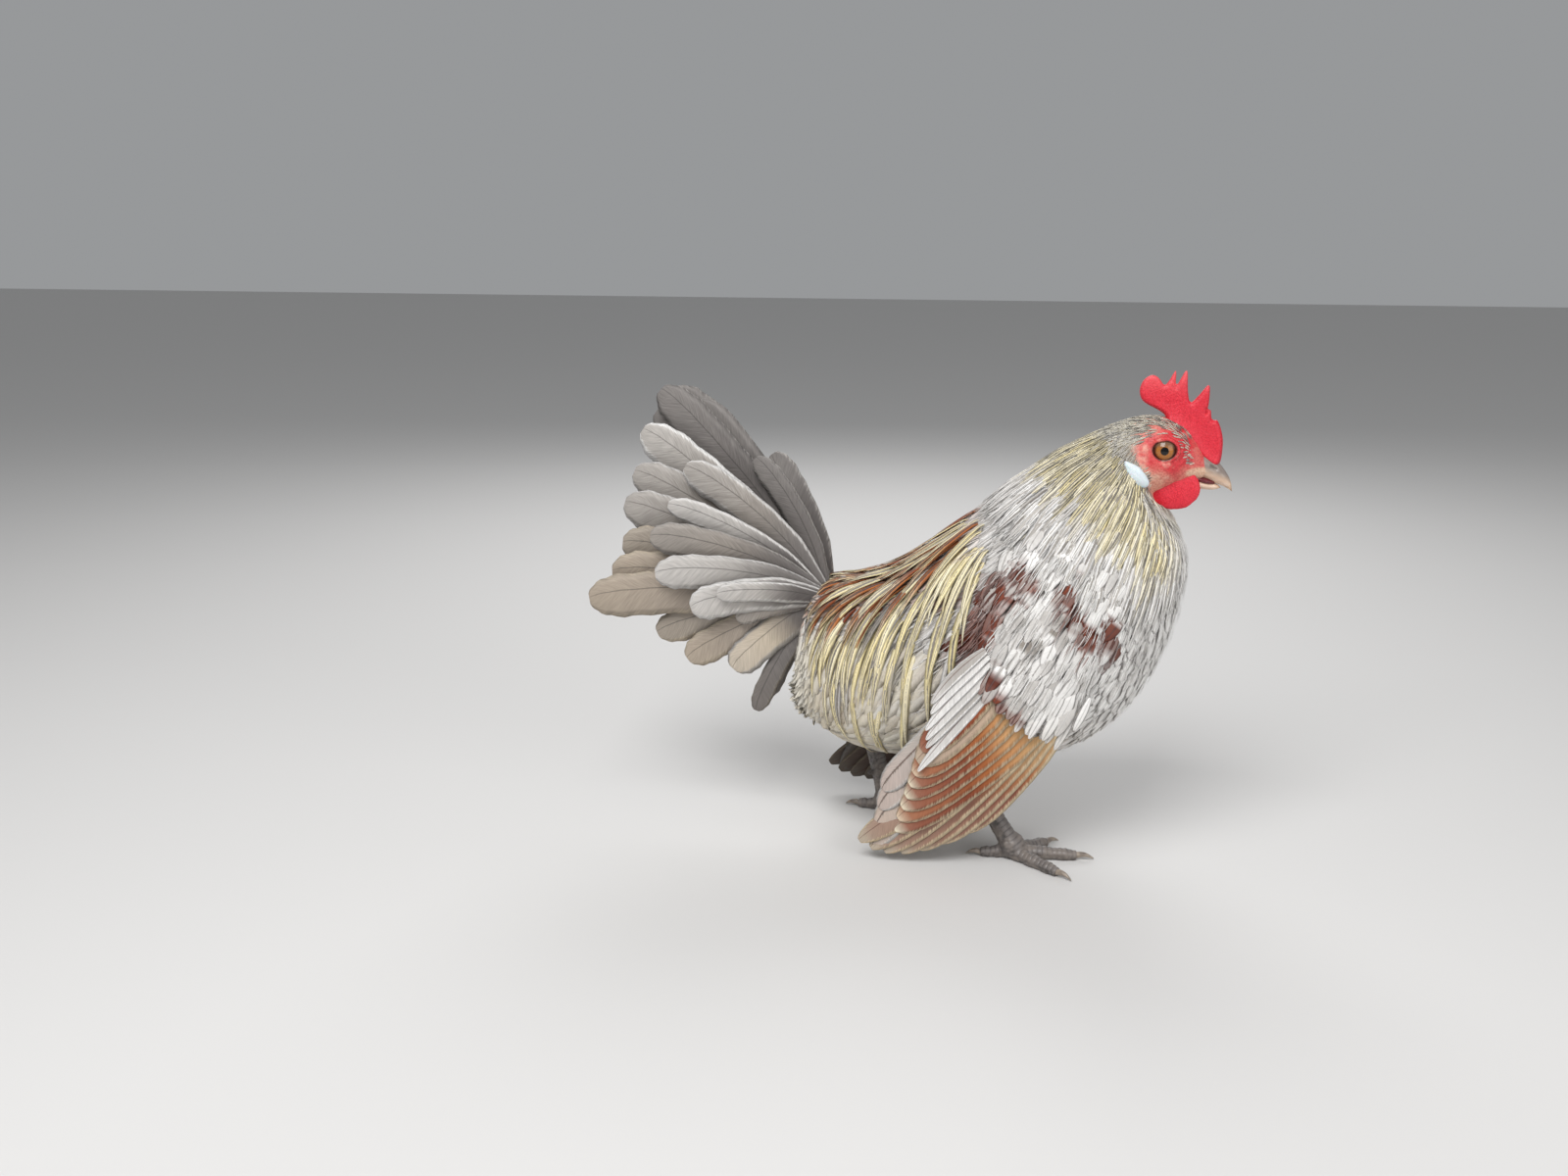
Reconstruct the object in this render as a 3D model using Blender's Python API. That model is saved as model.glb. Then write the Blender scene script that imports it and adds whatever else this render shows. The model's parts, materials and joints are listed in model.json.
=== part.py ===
"""A life-size dutch bantam cockerel, standing with its head forward, its wings drooped and its tail raised.

The bird faces +X, its left side is +Y and it stands on z = 0. Sizes in this file are millimetres, and at()
turns them into Blender's metres. The body is one skinned form, parted by thin cuts into torso, neck and head.
Feathers are thin vanes whose roots are sunk into the part that carries them. Everything is measured from a
point under the thighs, and the finished bird is moved so that its box stands centred over the origin.
"""

import math
import random

import bmesh
import bpy
from mathutils import Matrix, Vector
from mathutils.bvhtree import BVHTree
from mathutils.geometry import tessellate_polygon

MM = 0.001
GAP = 0.3
BOX_MIDDLE_X = 3.07
SIDES = {"left": 1, "right": -1}
SEED = 7

# Body outline in the middle plane: back point, belly point and half width of each control section.
BODY_SECTIONS = (
    ((-35, 104), (-40, 73), 9),
    ((-27, 112), (-35, 56), 18),
    ((-15, 114), (-24, 43), 27),
    ((-1, 118.5), (-3, 37.5), 33.5),
    ((12, 126.5), (21, 37), 37.5),
    ((24, 136), (47, 37.5), 40),
    ((35, 146), (74, 44), 41),
    ((46, 155.5), (95.5, 60), 40),
    ((55, 162.3), (109, 82), 37),
    ((63, 168), (116.5, 105), 31.5),
    ((70, 173), (118.5, 127), 25.5),
    ((78, 177.8), (111, 144), 19),
    ((88, 182), (105, 152.5), 15.5),
    ((98, 185), (108, 154.5), 13.8),
    ((106, 185), (111.5, 156.5), 12.6),
    ((113, 182.5), (115, 158), 11),
    ((118.5, 177.5), (118.5, 159), 8.3),
    ((122.5, 171.5), (121, 160), 6),
    ((124.5, 168.5), (123, 161), 4.6),
)
BODY_STEPS = 2
BODY_SIDES = 18
# Places along the control sections where the neck and the head begin.
NECK_AT = 8.5
HEAD_AT = 11.0

EYE_AT = (107, 8.4, 173.3)
EYE_RADIUS = 5.5
LID_RADIUS = 4.9
LID_THICKNESS = 1.7
LID_OUT = 4.2
EARLOBE_AT = (96, 15.4, 164.4)
EARLOBE_SIZE = (6.8, 1.9, 3.4)
EARLOBE_TILT = math.radians(45)
WATTLE_AT = (112, 6.9, 157.6)
WATTLE_SIZE = (9.8, 1.7, 8.4)
WATTLE_SPLAY = math.radians(9)

# Single comb: its outline from the beak up over the points and the rear lobe, back along the crown.
COMB_OUTLINE = (
    (126, 166), (129, 167), (129.8, 172), (129.5, 178), (127.3, 184), (125, 184.5), (124.2, 188.4),
    (122.6, 187), (123.4, 191), (123, 198.2), (119, 193.6), (116.2, 191.2), (115, 196), (114.2, 203.8),
    (111.6, 199.5), (110.2, 197), (110, 203.5), (107.6, 199.6), (105.8, 197.8), (103.4, 200.6),
    (100.8, 201.6), (97.8, 199.6), (96.4, 195.8), (97.3, 192), (100, 189.8), (104, 187.8), (107, 185.4),
    (107.5, 181), (114, 178), (121, 170),
)
COMB_BASE_Z = 178
COMB_TOP_Z = 204
COMB_BASE_THICKNESS = 4.6
COMB_TIP_THICKNESS = 1.7

# Beak halves: culmen or upper edge, lower edge and half width of each section, then the tip.
UPPER_BEAK = (
    ((121.5, 172), (119.5, 162.3), 5.4),
    ((125.8, 169.6), (123, 160.9), 4.7),
    ((129.6, 166.6), (126.6, 159.6), 3.8),
    ((132.6, 162.6), (130.2, 158.3), 2.6),
    ((134.4, 159.2), (133, 157), 1.3),
)
UPPER_BEAK_TIP = (134.7, 156)
LOWER_BEAK = (
    ((118.6, 162), (118.6, 157), 4.6),
    ((123, 160.1), (123, 156.1), 3.7),
    ((127.2, 158.7), (127.2, 155.5), 2.6),
    ((129.8, 157.8), (129.9, 155.9), 1.5),
)
LOWER_BEAK_TIP = (131.4, 156.6)
NOSTRIL_AT = (126.6, 4.4, 165.8)
NOSTRIL_RADIUS = 0.9

# Legs: thigh top, hock and foot centre. The right foot is forward and the left one back, in mid stride.
THIGH_TOP = {"right": (48, -19, 72), "left": (14, 16, 70)}
HOCK = {"right": (33, -21, 39), "left": (-13, 19, 39)}
FOOT_AT = {"right": (54, -22, 5.4), "left": (-5, 18, 5.4)}
THIGH_RADII = (14, 14, 12.5, 9.2, 6.4)
SHANK_RADII = (5, 4.1, 3.7, 3.7, 4.3)
SHANK_SCUTES = 8
SHANK_SIDES = 8
SHANK_OVERRUN = 0.1
SCUTE_HEIGHT = 0.45
FOOT_RADIUS = 5.6
SPUR_LENGTH = 4.5
SPUR_RADIUS = 1.7
SPUR_DOWN_SHANK = 0.62
SPUR_ROOT = 2

# Toes: heading from straight ahead (outward positive), length without the claw, root and end radius.
TOES = {
    "inner": (-46, 20, 3.2, 2.1),
    "middle": (-6, 27, 3.5, 2.2),
    "outer": (38, 25, 3.3, 2.1),
    "hind": (174, 13, 2.9, 2.0),
}
TOE_SCUTES = 4
TOE_SIDES = 6
TOE_AXIS_Z = 2.7
CLAW_LENGTH = 8.5
HIND_CLAW_LENGTH = 7
CLAW_RISE = 0.5
CLAW_BASE_SHARE = 0.62
CLAW_TIP_Z = 0.6
SOLE_SINK = 0.45

# Wings: each falls back and down from its shoulder at an angle from straight ahead. Along and across are
# measured in each wing's own frame, from the shoulder towards the tip and from the rear edge towards the front.
WING_SHOULDER = {"right": (70, 128), "left": (60, 121)}
WING_FALL = {"right": math.radians(-119.7), "left": math.radians(-127.7)}
WING_SPAN = 47
WING_BROADEST_AT = (55, 8)
WING_ROUND_TO_SHOULDER = 11 / 63 ** 2
WING_ROUND_TO_TIP = 2.5 / 86 ** 2
WING_ROUND_ACROSS = 6.5 / 32 ** 2
WING_CORE = (
    (-6, 4, 11), (2, 5, 19), (12, 4, 24.5), (24, 4.5, 26), (36, 8.5, 25), (46, 13, 22), (54, 17, 16),
)
WING_CORE_ENDS = (-12, 58)
WING_CORE_DEPTH = 7
WING_CORE_HALF_DEPTH = 6.2
PRIMARIES = 7
SECONDARIES = 8
TERTIALS = 3
GREATER_COVERTS = 7
MEDIAN_COVERTS = 5
PRIMARY_HALF_WIDTH = 5.6
SECONDARY_HALF_WIDTH = 6.4
TERTIAL_HALF_WIDTH = 6
GREATER_COVERT_HALF_WIDTH = 4.8
MEDIAN_COVERT_HALF_WIDTH = 5.8
WING_ROOT_SINK = 2.5
VANE_THICKNESS = 0.6
SHINGLE = math.tan(math.radians(7))
LAYER = 0.62

# Tail: the knob that carries it, then each tier's feathers as (angle above horizontal, length) from the root,
# with the tier's half width, splay from the middle plane at its first and last feather, and downward curl.
TAIL_KNOB_AT = (-35, 0, 102)
TAIL_KNOB_SIZE = (16, 12, 14)
TAIL_ROOT = (-30, 104)
TAIL_ROOT_INNER = 1.2
TAIL_ROOT_SPREAD = 12
TAIL_LEAN = 0.16
TAIL_TIERS = (
    (((51, 113), (42, 106), (33, 98), (25, 95), (15, 90), (7, 92), (0, 101)), 9.6, (3, 13), 6),
    (((64, 68), (44, 83), (32, 79), (21, 80), (10, 74), (-2, 58)), 6.4, (11, 20), 22),
    (((-13, 75), (-25, 66), (-39, 51)), 6.8, (9, 12), 8),
    (((6, 47), (-12, 39), (-60, 60)), 4.2, (25, 9), 12),
)

# Hackles: each row's place along the body sections, turn from the back of its last root, and the lengths there
# and at the back. A row's first root is on the back itself in every other row.
NECK_HACKLES = ((10.75, 125, 25, 18), (10.1, 120, 35, 24), (9.45, 110, 42, 30), (8.85, 95, 46, 34))
SADDLE_HACKLES = ((5.1, 46, 42, 34), (4.0, 76, 33, 32), (2.9, 77, 21, 28))
HACKLES_A_SIDE = 6
HACKLE_HALF_WIDTH = 3.7
HACKLE_LIFTS = (-2.2, 1.5, 2.3, 2.6, 2.2)
HACKLE_CLEARANCE = 2.6
COAT = 1.2
FLUFF_PLACES = ((0.7, 84, 30), (0.9, 108, 32), (1.3, 132, 28), (1.9, 150, 22))
FLUFF_THICKNESS = 2.4
FLUFF_HALF_WIDTH = 6
FLUFF_SINK = 2.5
FLUFF_STEPS = 4

COLOURS = {
    "silver_plumage": ((0.62, 0.60, 0.57), 0.75),
    "straw_hackle": ((0.72, 0.66, 0.48), 0.7),
    "grey_tail": ((0.38, 0.36, 0.35), 0.65),
    "wing_bay": ((0.55, 0.33, 0.17), 0.7),
    "comb_red": ((0.72, 0.03, 0.05), 0.5),
    "face_red": ((0.62, 0.16, 0.14), 0.6),
    "earlobe_white": ((0.83, 0.87, 0.88), 0.55),
    "beak_horn": ((0.58, 0.48, 0.38), 0.35),
    "eye_orange": ((0.45, 0.2, 0.04), 0.1),
    "leg_slate": ((0.27, 0.25, 0.25), 0.55),
    "claw_horn": ((0.22, 0.19, 0.17), 0.4),
}


def at(x, y, z):
    """A point given in millimetres, as Blender's metres."""
    return Vector((x, y, z)) * MM


def clear_scene():
    for obj in list(bpy.data.objects):
        bpy.data.objects.remove(obj)


def material_of(name):
    """The named finish, made once."""
    found = bpy.data.materials.get(name)
    if found:
        return found
    colour, roughness = COLOURS[name]
    made = bpy.data.materials.new(name)
    made.use_nodes = True
    shader = made.node_tree.nodes["Principled BSDF"]
    shader.inputs["Base Color"].default_value = (*colour, 1)
    shader.inputs["Roughness"].default_value = roughness
    return made


def object_of(name, vertices, faces, finish):
    """A closed mesh object with its faces pointing out."""
    mesh = bpy.data.meshes.new(name)
    mesh.from_pydata([tuple(v) for v in vertices], [], faces)
    bm = bmesh.new()
    bm.from_mesh(mesh)
    bmesh.ops.recalc_face_normals(bm, faces=bm.faces)
    bm.to_mesh(mesh)
    bm.free()
    mesh.materials.append(material_of(finish))
    obj = bpy.data.objects.new(name, mesh)
    bpy.context.scene.collection.objects.link(obj)
    return obj


def body_row(place):
    """Numbers of the body section at a place along the control sections, on a smooth curve through them."""
    low = min(int(place), len(BODY_SECTIONS) - 2)
    t = place - low
    picked = (BODY_SECTIONS[max(0, min(len(BODY_SECTIONS) - 1, low + k))] for k in (-1, 0, 1, 2))
    flat = [[*row[0], *row[1], row[2]] for row in picked]
    return [
        0.5 * (2 * b + (c - a) * t + (2 * a - 5 * b + 4 * c - d) * t * t + (3 * b - a - 3 * c + d) * t ** 3)
        for a, b, c, d in zip(*flat)
    ]


def oval_ring(top, bottom, half_width, count, grow=0.0):
    """Points round an oval section that stands in the middle plane from its bottom point to its top one."""
    top, bottom = at(top[0], 0, top[1]), at(bottom[0], 0, bottom[1])
    centre, up = (top + bottom) / 2, (top - bottom) / 2
    up += up.normalized() * grow * MM
    side = Vector((0, (half_width + grow) * MM, 0))
    return [
        centre + up * math.sin(turn) + side * math.cos(turn)
        for turn in (2 * math.pi * (k + 0.5) / count for k in range(count))
    ]


def loft(name, rings, finish, tip=None, start=None):
    """A closed body over rings with as many points each. A tip or start point closes that end in a cone."""
    count = len(rings[0])
    vertices = [p for ring in rings for p in ring]
    faces = []
    for i in range(len(rings) - 1):
        for k in range(count):
            a, b = i * count + k, i * count + (k + 1) % count
            faces += [(a, b, b + count), (a, b + count, a + count)]
    last = (len(rings) - 1) * count
    for point, first in ((start, 0), (tip, last)):
        if point is None:
            point = sum(vertices[first:first + count], Vector()) / count
        vertices.append(point)
        faces += [(first + k, first + (k + 1) % count, len(vertices) - 1) for k in range(count)]
    return object_of(name, vertices, faces, finish)


def ellipsoid(name, centre, size, turn, finish, rings=8, sides=12):
    """An ellipsoid of those half sizes, turned by a rotation matrix about its centre."""
    poles = [Vector((0, 0, sign)) for sign in (-1, 1)]
    circles = []
    for i in range(1, rings):
        tilt = math.pi * i / rings - math.pi / 2
        circles.append([
            Vector((math.cos(tilt) * math.cos(k * 2 * math.pi / sides),
                    math.cos(tilt) * math.sin(k * 2 * math.pi / sides), math.sin(tilt)))
            for k in range(sides)
        ])

    def place(p):
        return at(*centre) + turn @ at(*(p[i] * size[i] for i in range(3)))

    return loft(name, [[place(p) for p in ring] for ring in circles], finish, place(poles[1]), place(poles[0]))


def apply_modifiers(obj):
    """The object's mesh as its modifiers leave it, with the modifiers gone."""
    graph = bpy.context.evaluated_depsgraph_get()
    mesh = bpy.data.meshes.new_from_object(obj.evaluated_get(graph))
    obj.modifiers.clear()
    obj.data = mesh


def keep_largest(obj):
    """Leaves only the closed surface with the most volume, which fills sealed hollows and drops loose scraps."""
    bm = bmesh.new()
    bm.from_mesh(obj.data)
    bmesh.ops.triangulate(bm, faces=bm.faces)
    unseen, shells = set(bm.faces), []
    while unseen:
        front = [unseen.pop()]
        shell = list(front)
        while front:
            for edge in front.pop().edges:
                for face in edge.link_faces:
                    if face in unseen:
                        unseen.remove(face)
                        front.append(face)
                        shell.append(face)
        volume = sum(
            f.verts[0].co.dot(f.verts[1].co.cross(f.verts[2].co)) / 6 for f in shell
        )
        shells.append((volume, shell))
    shells.sort(key=lambda entry: entry[0])
    scraps = [face for _, shell in shells[:-1] for face in shell]
    bmesh.ops.delete(bm, geom=scraps, context="FACES")
    bm.to_mesh(obj.data)
    bm.free()


def combine(obj, others, operation):
    """One Boolean of obj with the other objects, which are removed afterwards. Rows of thin vanes that cross one
    another leave loose scraps with the exact solver, so the manifold one joins and cuts these closed bodies."""
    group = bpy.data.collections.new(obj.name + "_pieces")
    for other in others:
        group.objects.link(other)
    joining = obj.modifiers.new("combine", "BOOLEAN")
    joining.operation = operation
    joining.solver = "MANIFOLD"
    joining.operand_type = "COLLECTION"
    joining.collection = group
    apply_modifiers(obj)
    for other in others:
        bpy.data.objects.remove(other)
    bpy.data.collections.remove(group)
    keep_largest(obj)
    return obj


def cut_away(obj, *cutters):
    for cutter in cutters:
        combine(obj, [cutter], "DIFFERENCE")
    return obj


def slice_off(obj, point, normal):
    """Removes what lies on the normal's side of a plane, and closes the cut."""
    bm = bmesh.new()
    bm.from_mesh(obj.data)
    geometry = bm.verts[:] + bm.edges[:] + bm.faces[:]
    cut = bmesh.ops.bisect_plane(bm, geom=geometry, dist=1e-7, plane_co=point, plane_no=normal, clear_outer=True)
    rim = [e for e in cut["geom_cut"] if isinstance(e, bmesh.types.BMEdge)]
    bmesh.ops.edgenet_fill(bm, edges=rim)
    bmesh.ops.triangulate(bm, faces=bm.faces)
    bmesh.ops.recalc_face_normals(bm, faces=bm.faces)
    bm.to_mesh(obj.data)
    bm.free()
    return obj


def copy_of(obj, name):
    made = bpy.data.objects.new(name, obj.data.copy())
    bpy.context.scene.collection.objects.link(made)
    return made


def body_form(name, start=0.0, end=len(BODY_SECTIONS) - 1.0, grow=0.0):
    """The body from one place along its sections to another, as one closed form."""
    places = [start]
    step = math.floor(start * BODY_STEPS) + 1
    while step / BODY_STEPS < end - 0.1:
        if step / BODY_STEPS > start + 0.1:
            places.append(step / BODY_STEPS)
        step += 1
    rows = [body_row(place) for place in (*places, end)]
    rings = [oval_ring(row[0:2], row[2:4], row[4], BODY_SIDES, grow) for row in rows]
    return loft(name, rings, "silver_plumage")


def seam(place, sign):
    """The place half a gap before or after a cut through the body."""
    here, after = body_row(place), body_row(place + 0.1)
    spacing = min(math.dist(here[0:2], after[0:2]), math.dist(here[2:4], after[2:4])) * 10
    return place + sign * GAP / 2 / spacing


def vane(name, shaft, across, half_widths, finish, thickness=VANE_THICKNESS):
    """A feather as a thin closed plate along its shaft points, with both faces split into triangles alike."""
    vertices, faces = [], []
    for i, point in enumerate(shaft):
        ahead = shaft[min(i + 1, len(shaft) - 1)] - shaft[max(i - 1, 0)]
        side = across[i].normalized()
        out = side.cross(ahead).normalized() * thickness * MM / 2
        side = side * half_widths[i] * MM
        vertices += [point - side + out, point + side + out, point + side - out, point - side - out]
    for i in range(len(shaft) - 1):
        a, b = 4 * i, 4 * (i + 1)
        faces += [(a, a + 1, b + 1), (a, b + 1, b), (a + 3, a + 2, b + 2), (a + 3, b + 2, b + 3)]
        faces += [(a + 1, a + 2, b + 2), (a + 1, b + 2, b + 1), (a + 3, a, b), (a + 3, b, b + 3)]
    end = 4 * (len(shaft) - 1)
    for first in (0, end):
        faces += [(first, first + 1, first + 2), (first, first + 2, first + 3)]
    return object_of(name, vertices, faces, finish)


def lancet(name, shaft, out, half_width, finish, thickness=0.9):
    """A pointed hackle: a flat lock, ridged along its outer face, that widens and then ends in a point."""
    rings = []
    count = len(shaft) - 1
    for i in range(count):
        ahead = shaft[i + 1] - shaft[max(i - 1, 0)]
        side = out[i].cross(ahead).normalized()
        along = i / count
        width = half_width * MM * (0.6 + 1.3 * along - 1.5 * along ** 2)
        under = shaft[i] - out[i] * thickness * MM / 2
        rings.append([under - side * width, shaft[i] + out[i] * thickness * MM / 2, under + side * width])
    return loft(name, rings, finish, tip=shaft[-1])


def drape(surface, root, heading, length, lifts):
    """Points of a shaft laid along a surface from its root, each lifted off the surface, with their normals."""
    steps = len(lifts) - 1
    point, points, normals = root, [], []
    for lift in lifts:
        near, normal, _, _ = surface.find_nearest(point)
        points.append(near + normal * lift * MM)
        normals.append(normal)
        ahead = heading - normal * heading.dot(normal)
        point = near + ahead.normalized() * length * MM / steps
    return points, normals


def surface_of(objects):
    """A search tree over the objects' faces, which feathers are laid on."""
    bm = bmesh.new()
    for obj in objects:
        bm.from_mesh(obj.data)
    tree = BVHTree.FromBMesh(bm)
    bm.free()
    return tree


def root_on_body(place, turn, side):
    """A point of the body's skin at a place along its sections, turned from the back down one side."""
    row = body_row(place)
    top, bottom = at(row[0], 0, row[1]), at(row[2], 0, row[3])
    across = Vector((0, side * row[4] * MM, 0))
    return (top + bottom) / 2 + (top - bottom) / 2 * math.cos(turn) + across * math.sin(turn)


def torus(name, centre, radius, thickness, axis, finish, steps=14, sides=5):
    """A closed ring about an axis."""
    turn = Vector((0, 0, 1)).rotation_difference(axis).to_matrix()
    vertices, faces = [], []
    for i in range(steps):
        around = 2 * math.pi * i / steps
        for k in range(sides):
            section = 2 * math.pi * k / sides
            reach = radius + thickness / 2 * math.cos(section)
            point = at(reach * math.cos(around), reach * math.sin(around), thickness / 2 * math.sin(section))
            vertices.append(at(*centre) + turn @ point)
            a, b = i * sides + k, i * sides + (k + 1) % sides
            c, d = (i + 1) % steps * sides + k, (i + 1) % steps * sides + (k + 1) % sides
            faces += [(a, b, d), (a, d, c)]
    return object_of(name, vertices, faces, finish)


def limb(name, path, radii, finish, sides, grow=0.0):
    """A round tapering body along path points, with a radius at each."""
    rings = []
    for i, point in enumerate(path):
        ahead = (path[min(i + 1, len(path) - 1)] - path[max(i - 1, 0)]).normalized()
        across = ahead.cross(Vector((0, 1, 0)))
        across = across.normalized() if across.length > 0.2 else Vector((1, 0, 0))
        other = ahead.cross(across)
        reach = (radii[i] + grow) * MM
        rings.append([
            point + (across * math.cos(turn) + other * math.sin(turn)) * reach
            for turn in (2 * math.pi * k / sides for k in range(sides))
        ])
    return loft(name, rings, finish)


def scaled_path(start, end, scutes):
    """Points from start to end, one at the top of each raised scute and one in each groove between."""
    return [start.lerp(end, i / (2 * scutes)) for i in range(2 * scutes + 1)]


def scute_radii(radii, scutes):
    """A smooth run of radii, with every other one raised to make the edge of a scute."""
    made = []
    for i in range(2 * scutes + 1):
        place = i / (2 * scutes) * (len(radii) - 1)
        low = min(int(place), len(radii) - 2)
        radius = radii[low] + (radii[low + 1] - radii[low]) * (place - low)
        made.append(radius + (SCUTE_HEIGHT if i % 2 else 0))
    return made


def stations(steps):
    """Shares along a feather from 0 to 1 that crowd towards its end, where the outline rounds off."""
    return [1 - (1 - i / steps) ** 1.6 for i in range(steps + 1)]


def rounded_widths(half_width, steps, root=0.35):
    """Half widths at the stations of a feather: narrow at the root, full past the middle, round at the end."""
    widths = []
    for along in stations(steps):
        round_end = math.sqrt(max(0, 1 - max(0, (along - 0.72) / 0.29) ** 2))
        widths.append(half_width * min(1, root + 1.5 * along) * max(0.26, round_end))
    return widths


def bow(root, middle, tip, steps):
    """Points on a smooth bend from root to tip, drawn towards the middle point."""
    made = []
    for t in stations(steps):
        made.append([a * (1 - t) ** 2 + 2 * b * t * (1 - t) + c * t * t for a, b, c in zip(root, middle, tip)])
    return made


def make_head():
    """The head with its eyelids, sunk for the eyes, beak halves and ear lobes."""
    head = body_form("head", start=seam(HEAD_AT, 1))
    head.data.materials[0] = material_of("face_red")
    for side in SIDES.values():
        x, y, z = EYE_AT
        lid_at = (x, side * (y + LID_OUT), z)
        lid = torus("lid", lid_at, LID_RADIUS, LID_THICKNESS, Vector((0.12, side, 0.1)), "face_red")
        combine(head, [lid], "UNION")
        cut_away(head, eyeball("socket", side, GAP))
    for sections, tip in ((UPPER_BEAK, UPPER_BEAK_TIP), (LOWER_BEAK, LOWER_BEAK_TIP)):
        cut_away(head, beak_half("cut", sections, tip, GAP))
    return head


def eyeball(name, side, grow=0.0):
    x, y, z = EYE_AT
    size = EYE_RADIUS + grow
    turn = Matrix.Rotation(math.pi / 2, 3, "X")
    return ellipsoid(name, (x, side * y, z), (size, size, size), turn, "eye_orange", rings=8, sides=12)


def beak_half(name, sections, tip, grow=0.0):
    rings = [oval_ring(top, bottom, width, 10, grow) for top, bottom, width in sections]
    return loft(name, rings, "beak_horn", tip=at(tip[0], 0, tip[1]))


def make_beak():
    upper = beak_half("beak_upper", UPPER_BEAK, UPPER_BEAK_TIP)
    x, y, z = NOSTRIL_AT
    level = Matrix.Rotation(math.radians(40), 3, "Y")
    for side in SIDES.values():
        size = (2 * NOSTRIL_RADIUS, NOSTRIL_RADIUS, NOSTRIL_RADIUS)
        cut_away(upper, ellipsoid("nostril", (x, side * y, z), size, level, "beak_horn", rings=6, sides=8))
    beak_half("beak_lower", LOWER_BEAK, LOWER_BEAK_TIP)


def make_comb(grown_form):
    """The single comb: a blade that thins from its base to its points, standing on the head."""
    count = len(COMB_OUTLINE)
    vertices = []
    for side in SIDES.values():
        for x, z in COMB_OUTLINE:
            rise = max(0, min(1, (z - COMB_BASE_Z) / (COMB_TOP_Z - COMB_BASE_Z)))
            thickness = COMB_BASE_THICKNESS + (COMB_TIP_THICKNESS - COMB_BASE_THICKNESS) * rise
            vertices.append(at(x, side * thickness / 2, z))
    flat = [Vector((x, z, 0)) for x, z in COMB_OUTLINE]
    faces = []
    for a, b, c in tessellate_polygon([flat]):
        faces += [(a, b, c), (a + count, c + count, b + count)]
    for i in range(count):
        j = (i + 1) % count
        faces += [(i, j, j + count), (i, j + count, i + count)]
    comb = object_of("comb", vertices, faces, "comb_red")
    return cut_away(comb, copy_of(grown_form, "cut"), beak_half("cut", UPPER_BEAK, UPPER_BEAK_TIP, GAP))


def make_wattle(side_name, head_cut):
    """A wattle that hangs beside the throat, kept clear of the head behind it too."""
    side = SIDES[side_name]
    x, y, z = WATTLE_AT
    turn = Matrix.Rotation(side * WATTLE_SPLAY, 3, "X")
    name = "wattle_" + side_name
    wattle = ellipsoid(name, (x, side * y, z), WATTLE_SIZE, turn, "comb_red", rings=10, sides=14)
    throat = copy_of(head_cut, "cut")
    throat.data.transform(Matrix.Translation(at(2 * GAP, 0, 0)))
    cutters = (throat, copy_of(head_cut, "cut"), beak_half("cut", LOWER_BEAK, LOWER_BEAK_TIP, GAP))
    return cut_away(wattle, *cutters)


def make_earlobe(side_name, grown_form):
    side = SIDES[side_name]
    x, y, z = EARLOBE_AT
    turn = Matrix.Rotation(EARLOBE_TILT, 3, "Y")
    name = "earlobe_" + side_name
    lobe = ellipsoid(name, (x, side * y, z), EARLOBE_SIZE, turn, "earlobe_white", rings=8, sides=12)
    return cut_away(lobe, copy_of(grown_form, "cut"))


def wing_point(side_name, along, across, lift=0.0):
    """A place on the wing's rounded outer face, or that much outside it."""
    shoulder, fall = WING_SHOULDER[side_name], WING_FALL[side_name]
    x = shoulder[0] + along * math.cos(fall) - across * math.sin(fall)
    z = shoulder[1] + along * math.sin(fall) + across * math.cos(fall)
    ahead, aside = along - WING_BROADEST_AT[0], across - WING_BROADEST_AT[1]
    drop = ahead ** 2 * (WING_ROUND_TO_SHOULDER if ahead < 0 else WING_ROUND_TO_TIP)
    drop += aside ** 2 * WING_ROUND_ACROSS
    return at(x, SIDES[side_name] * (WING_SPAN - drop + lift), z)


def wing_core(name, side_name, grow=0.0):
    """The feathered arm of the wing as a rounded pad, which carries the flight feathers and coverts."""
    rings = []
    for along, middle, half in WING_CORE:
        turns = [2 * math.pi * k / 16 for k in range(16)]
        rings.append([
            wing_point(side_name, along, middle + (half + grow) * math.cos(turn),
                       -WING_CORE_DEPTH + (WING_CORE_HALF_DEPTH + grow) * math.sin(turn))
            for turn in turns
        ])
    ends = [
        wing_point(side_name, along, middle, -WING_CORE_DEPTH)
        for along, middle in zip(WING_CORE_ENDS, (WING_CORE[0][1], WING_CORE[-1][1]))
    ]
    return loft(name, rings, "silver_plumage", start=ends[0], tip=ends[1])


def wing_feather(side_name, root, tip, lift, half_width, bulge=0.0, steps=4):
    """A vane on the wing from root to tip, both as (along, across), that rises from inside the core."""
    middle = ((root[0] + tip[0]) / 2, (root[1] + tip[1]) / 2 + bulge, lift)
    path = bow((*root, lift), middle, (*tip, lift), steps)
    path[0][2] -= WING_ROOT_SINK
    side = SIDES[side_name]
    shaft, across = [], []
    for along, aside, rise in path:
        here = wing_point(side_name, along, aside, rise)
        over = wing_point(side_name, along, aside + 1, rise + SHINGLE) - here
        shaft.append(here)
        across.append(over * side)
    widths = rounded_widths(half_width, steps, root=0.6)
    return vane("feather", shaft, across, widths, "wing_bay")


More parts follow.
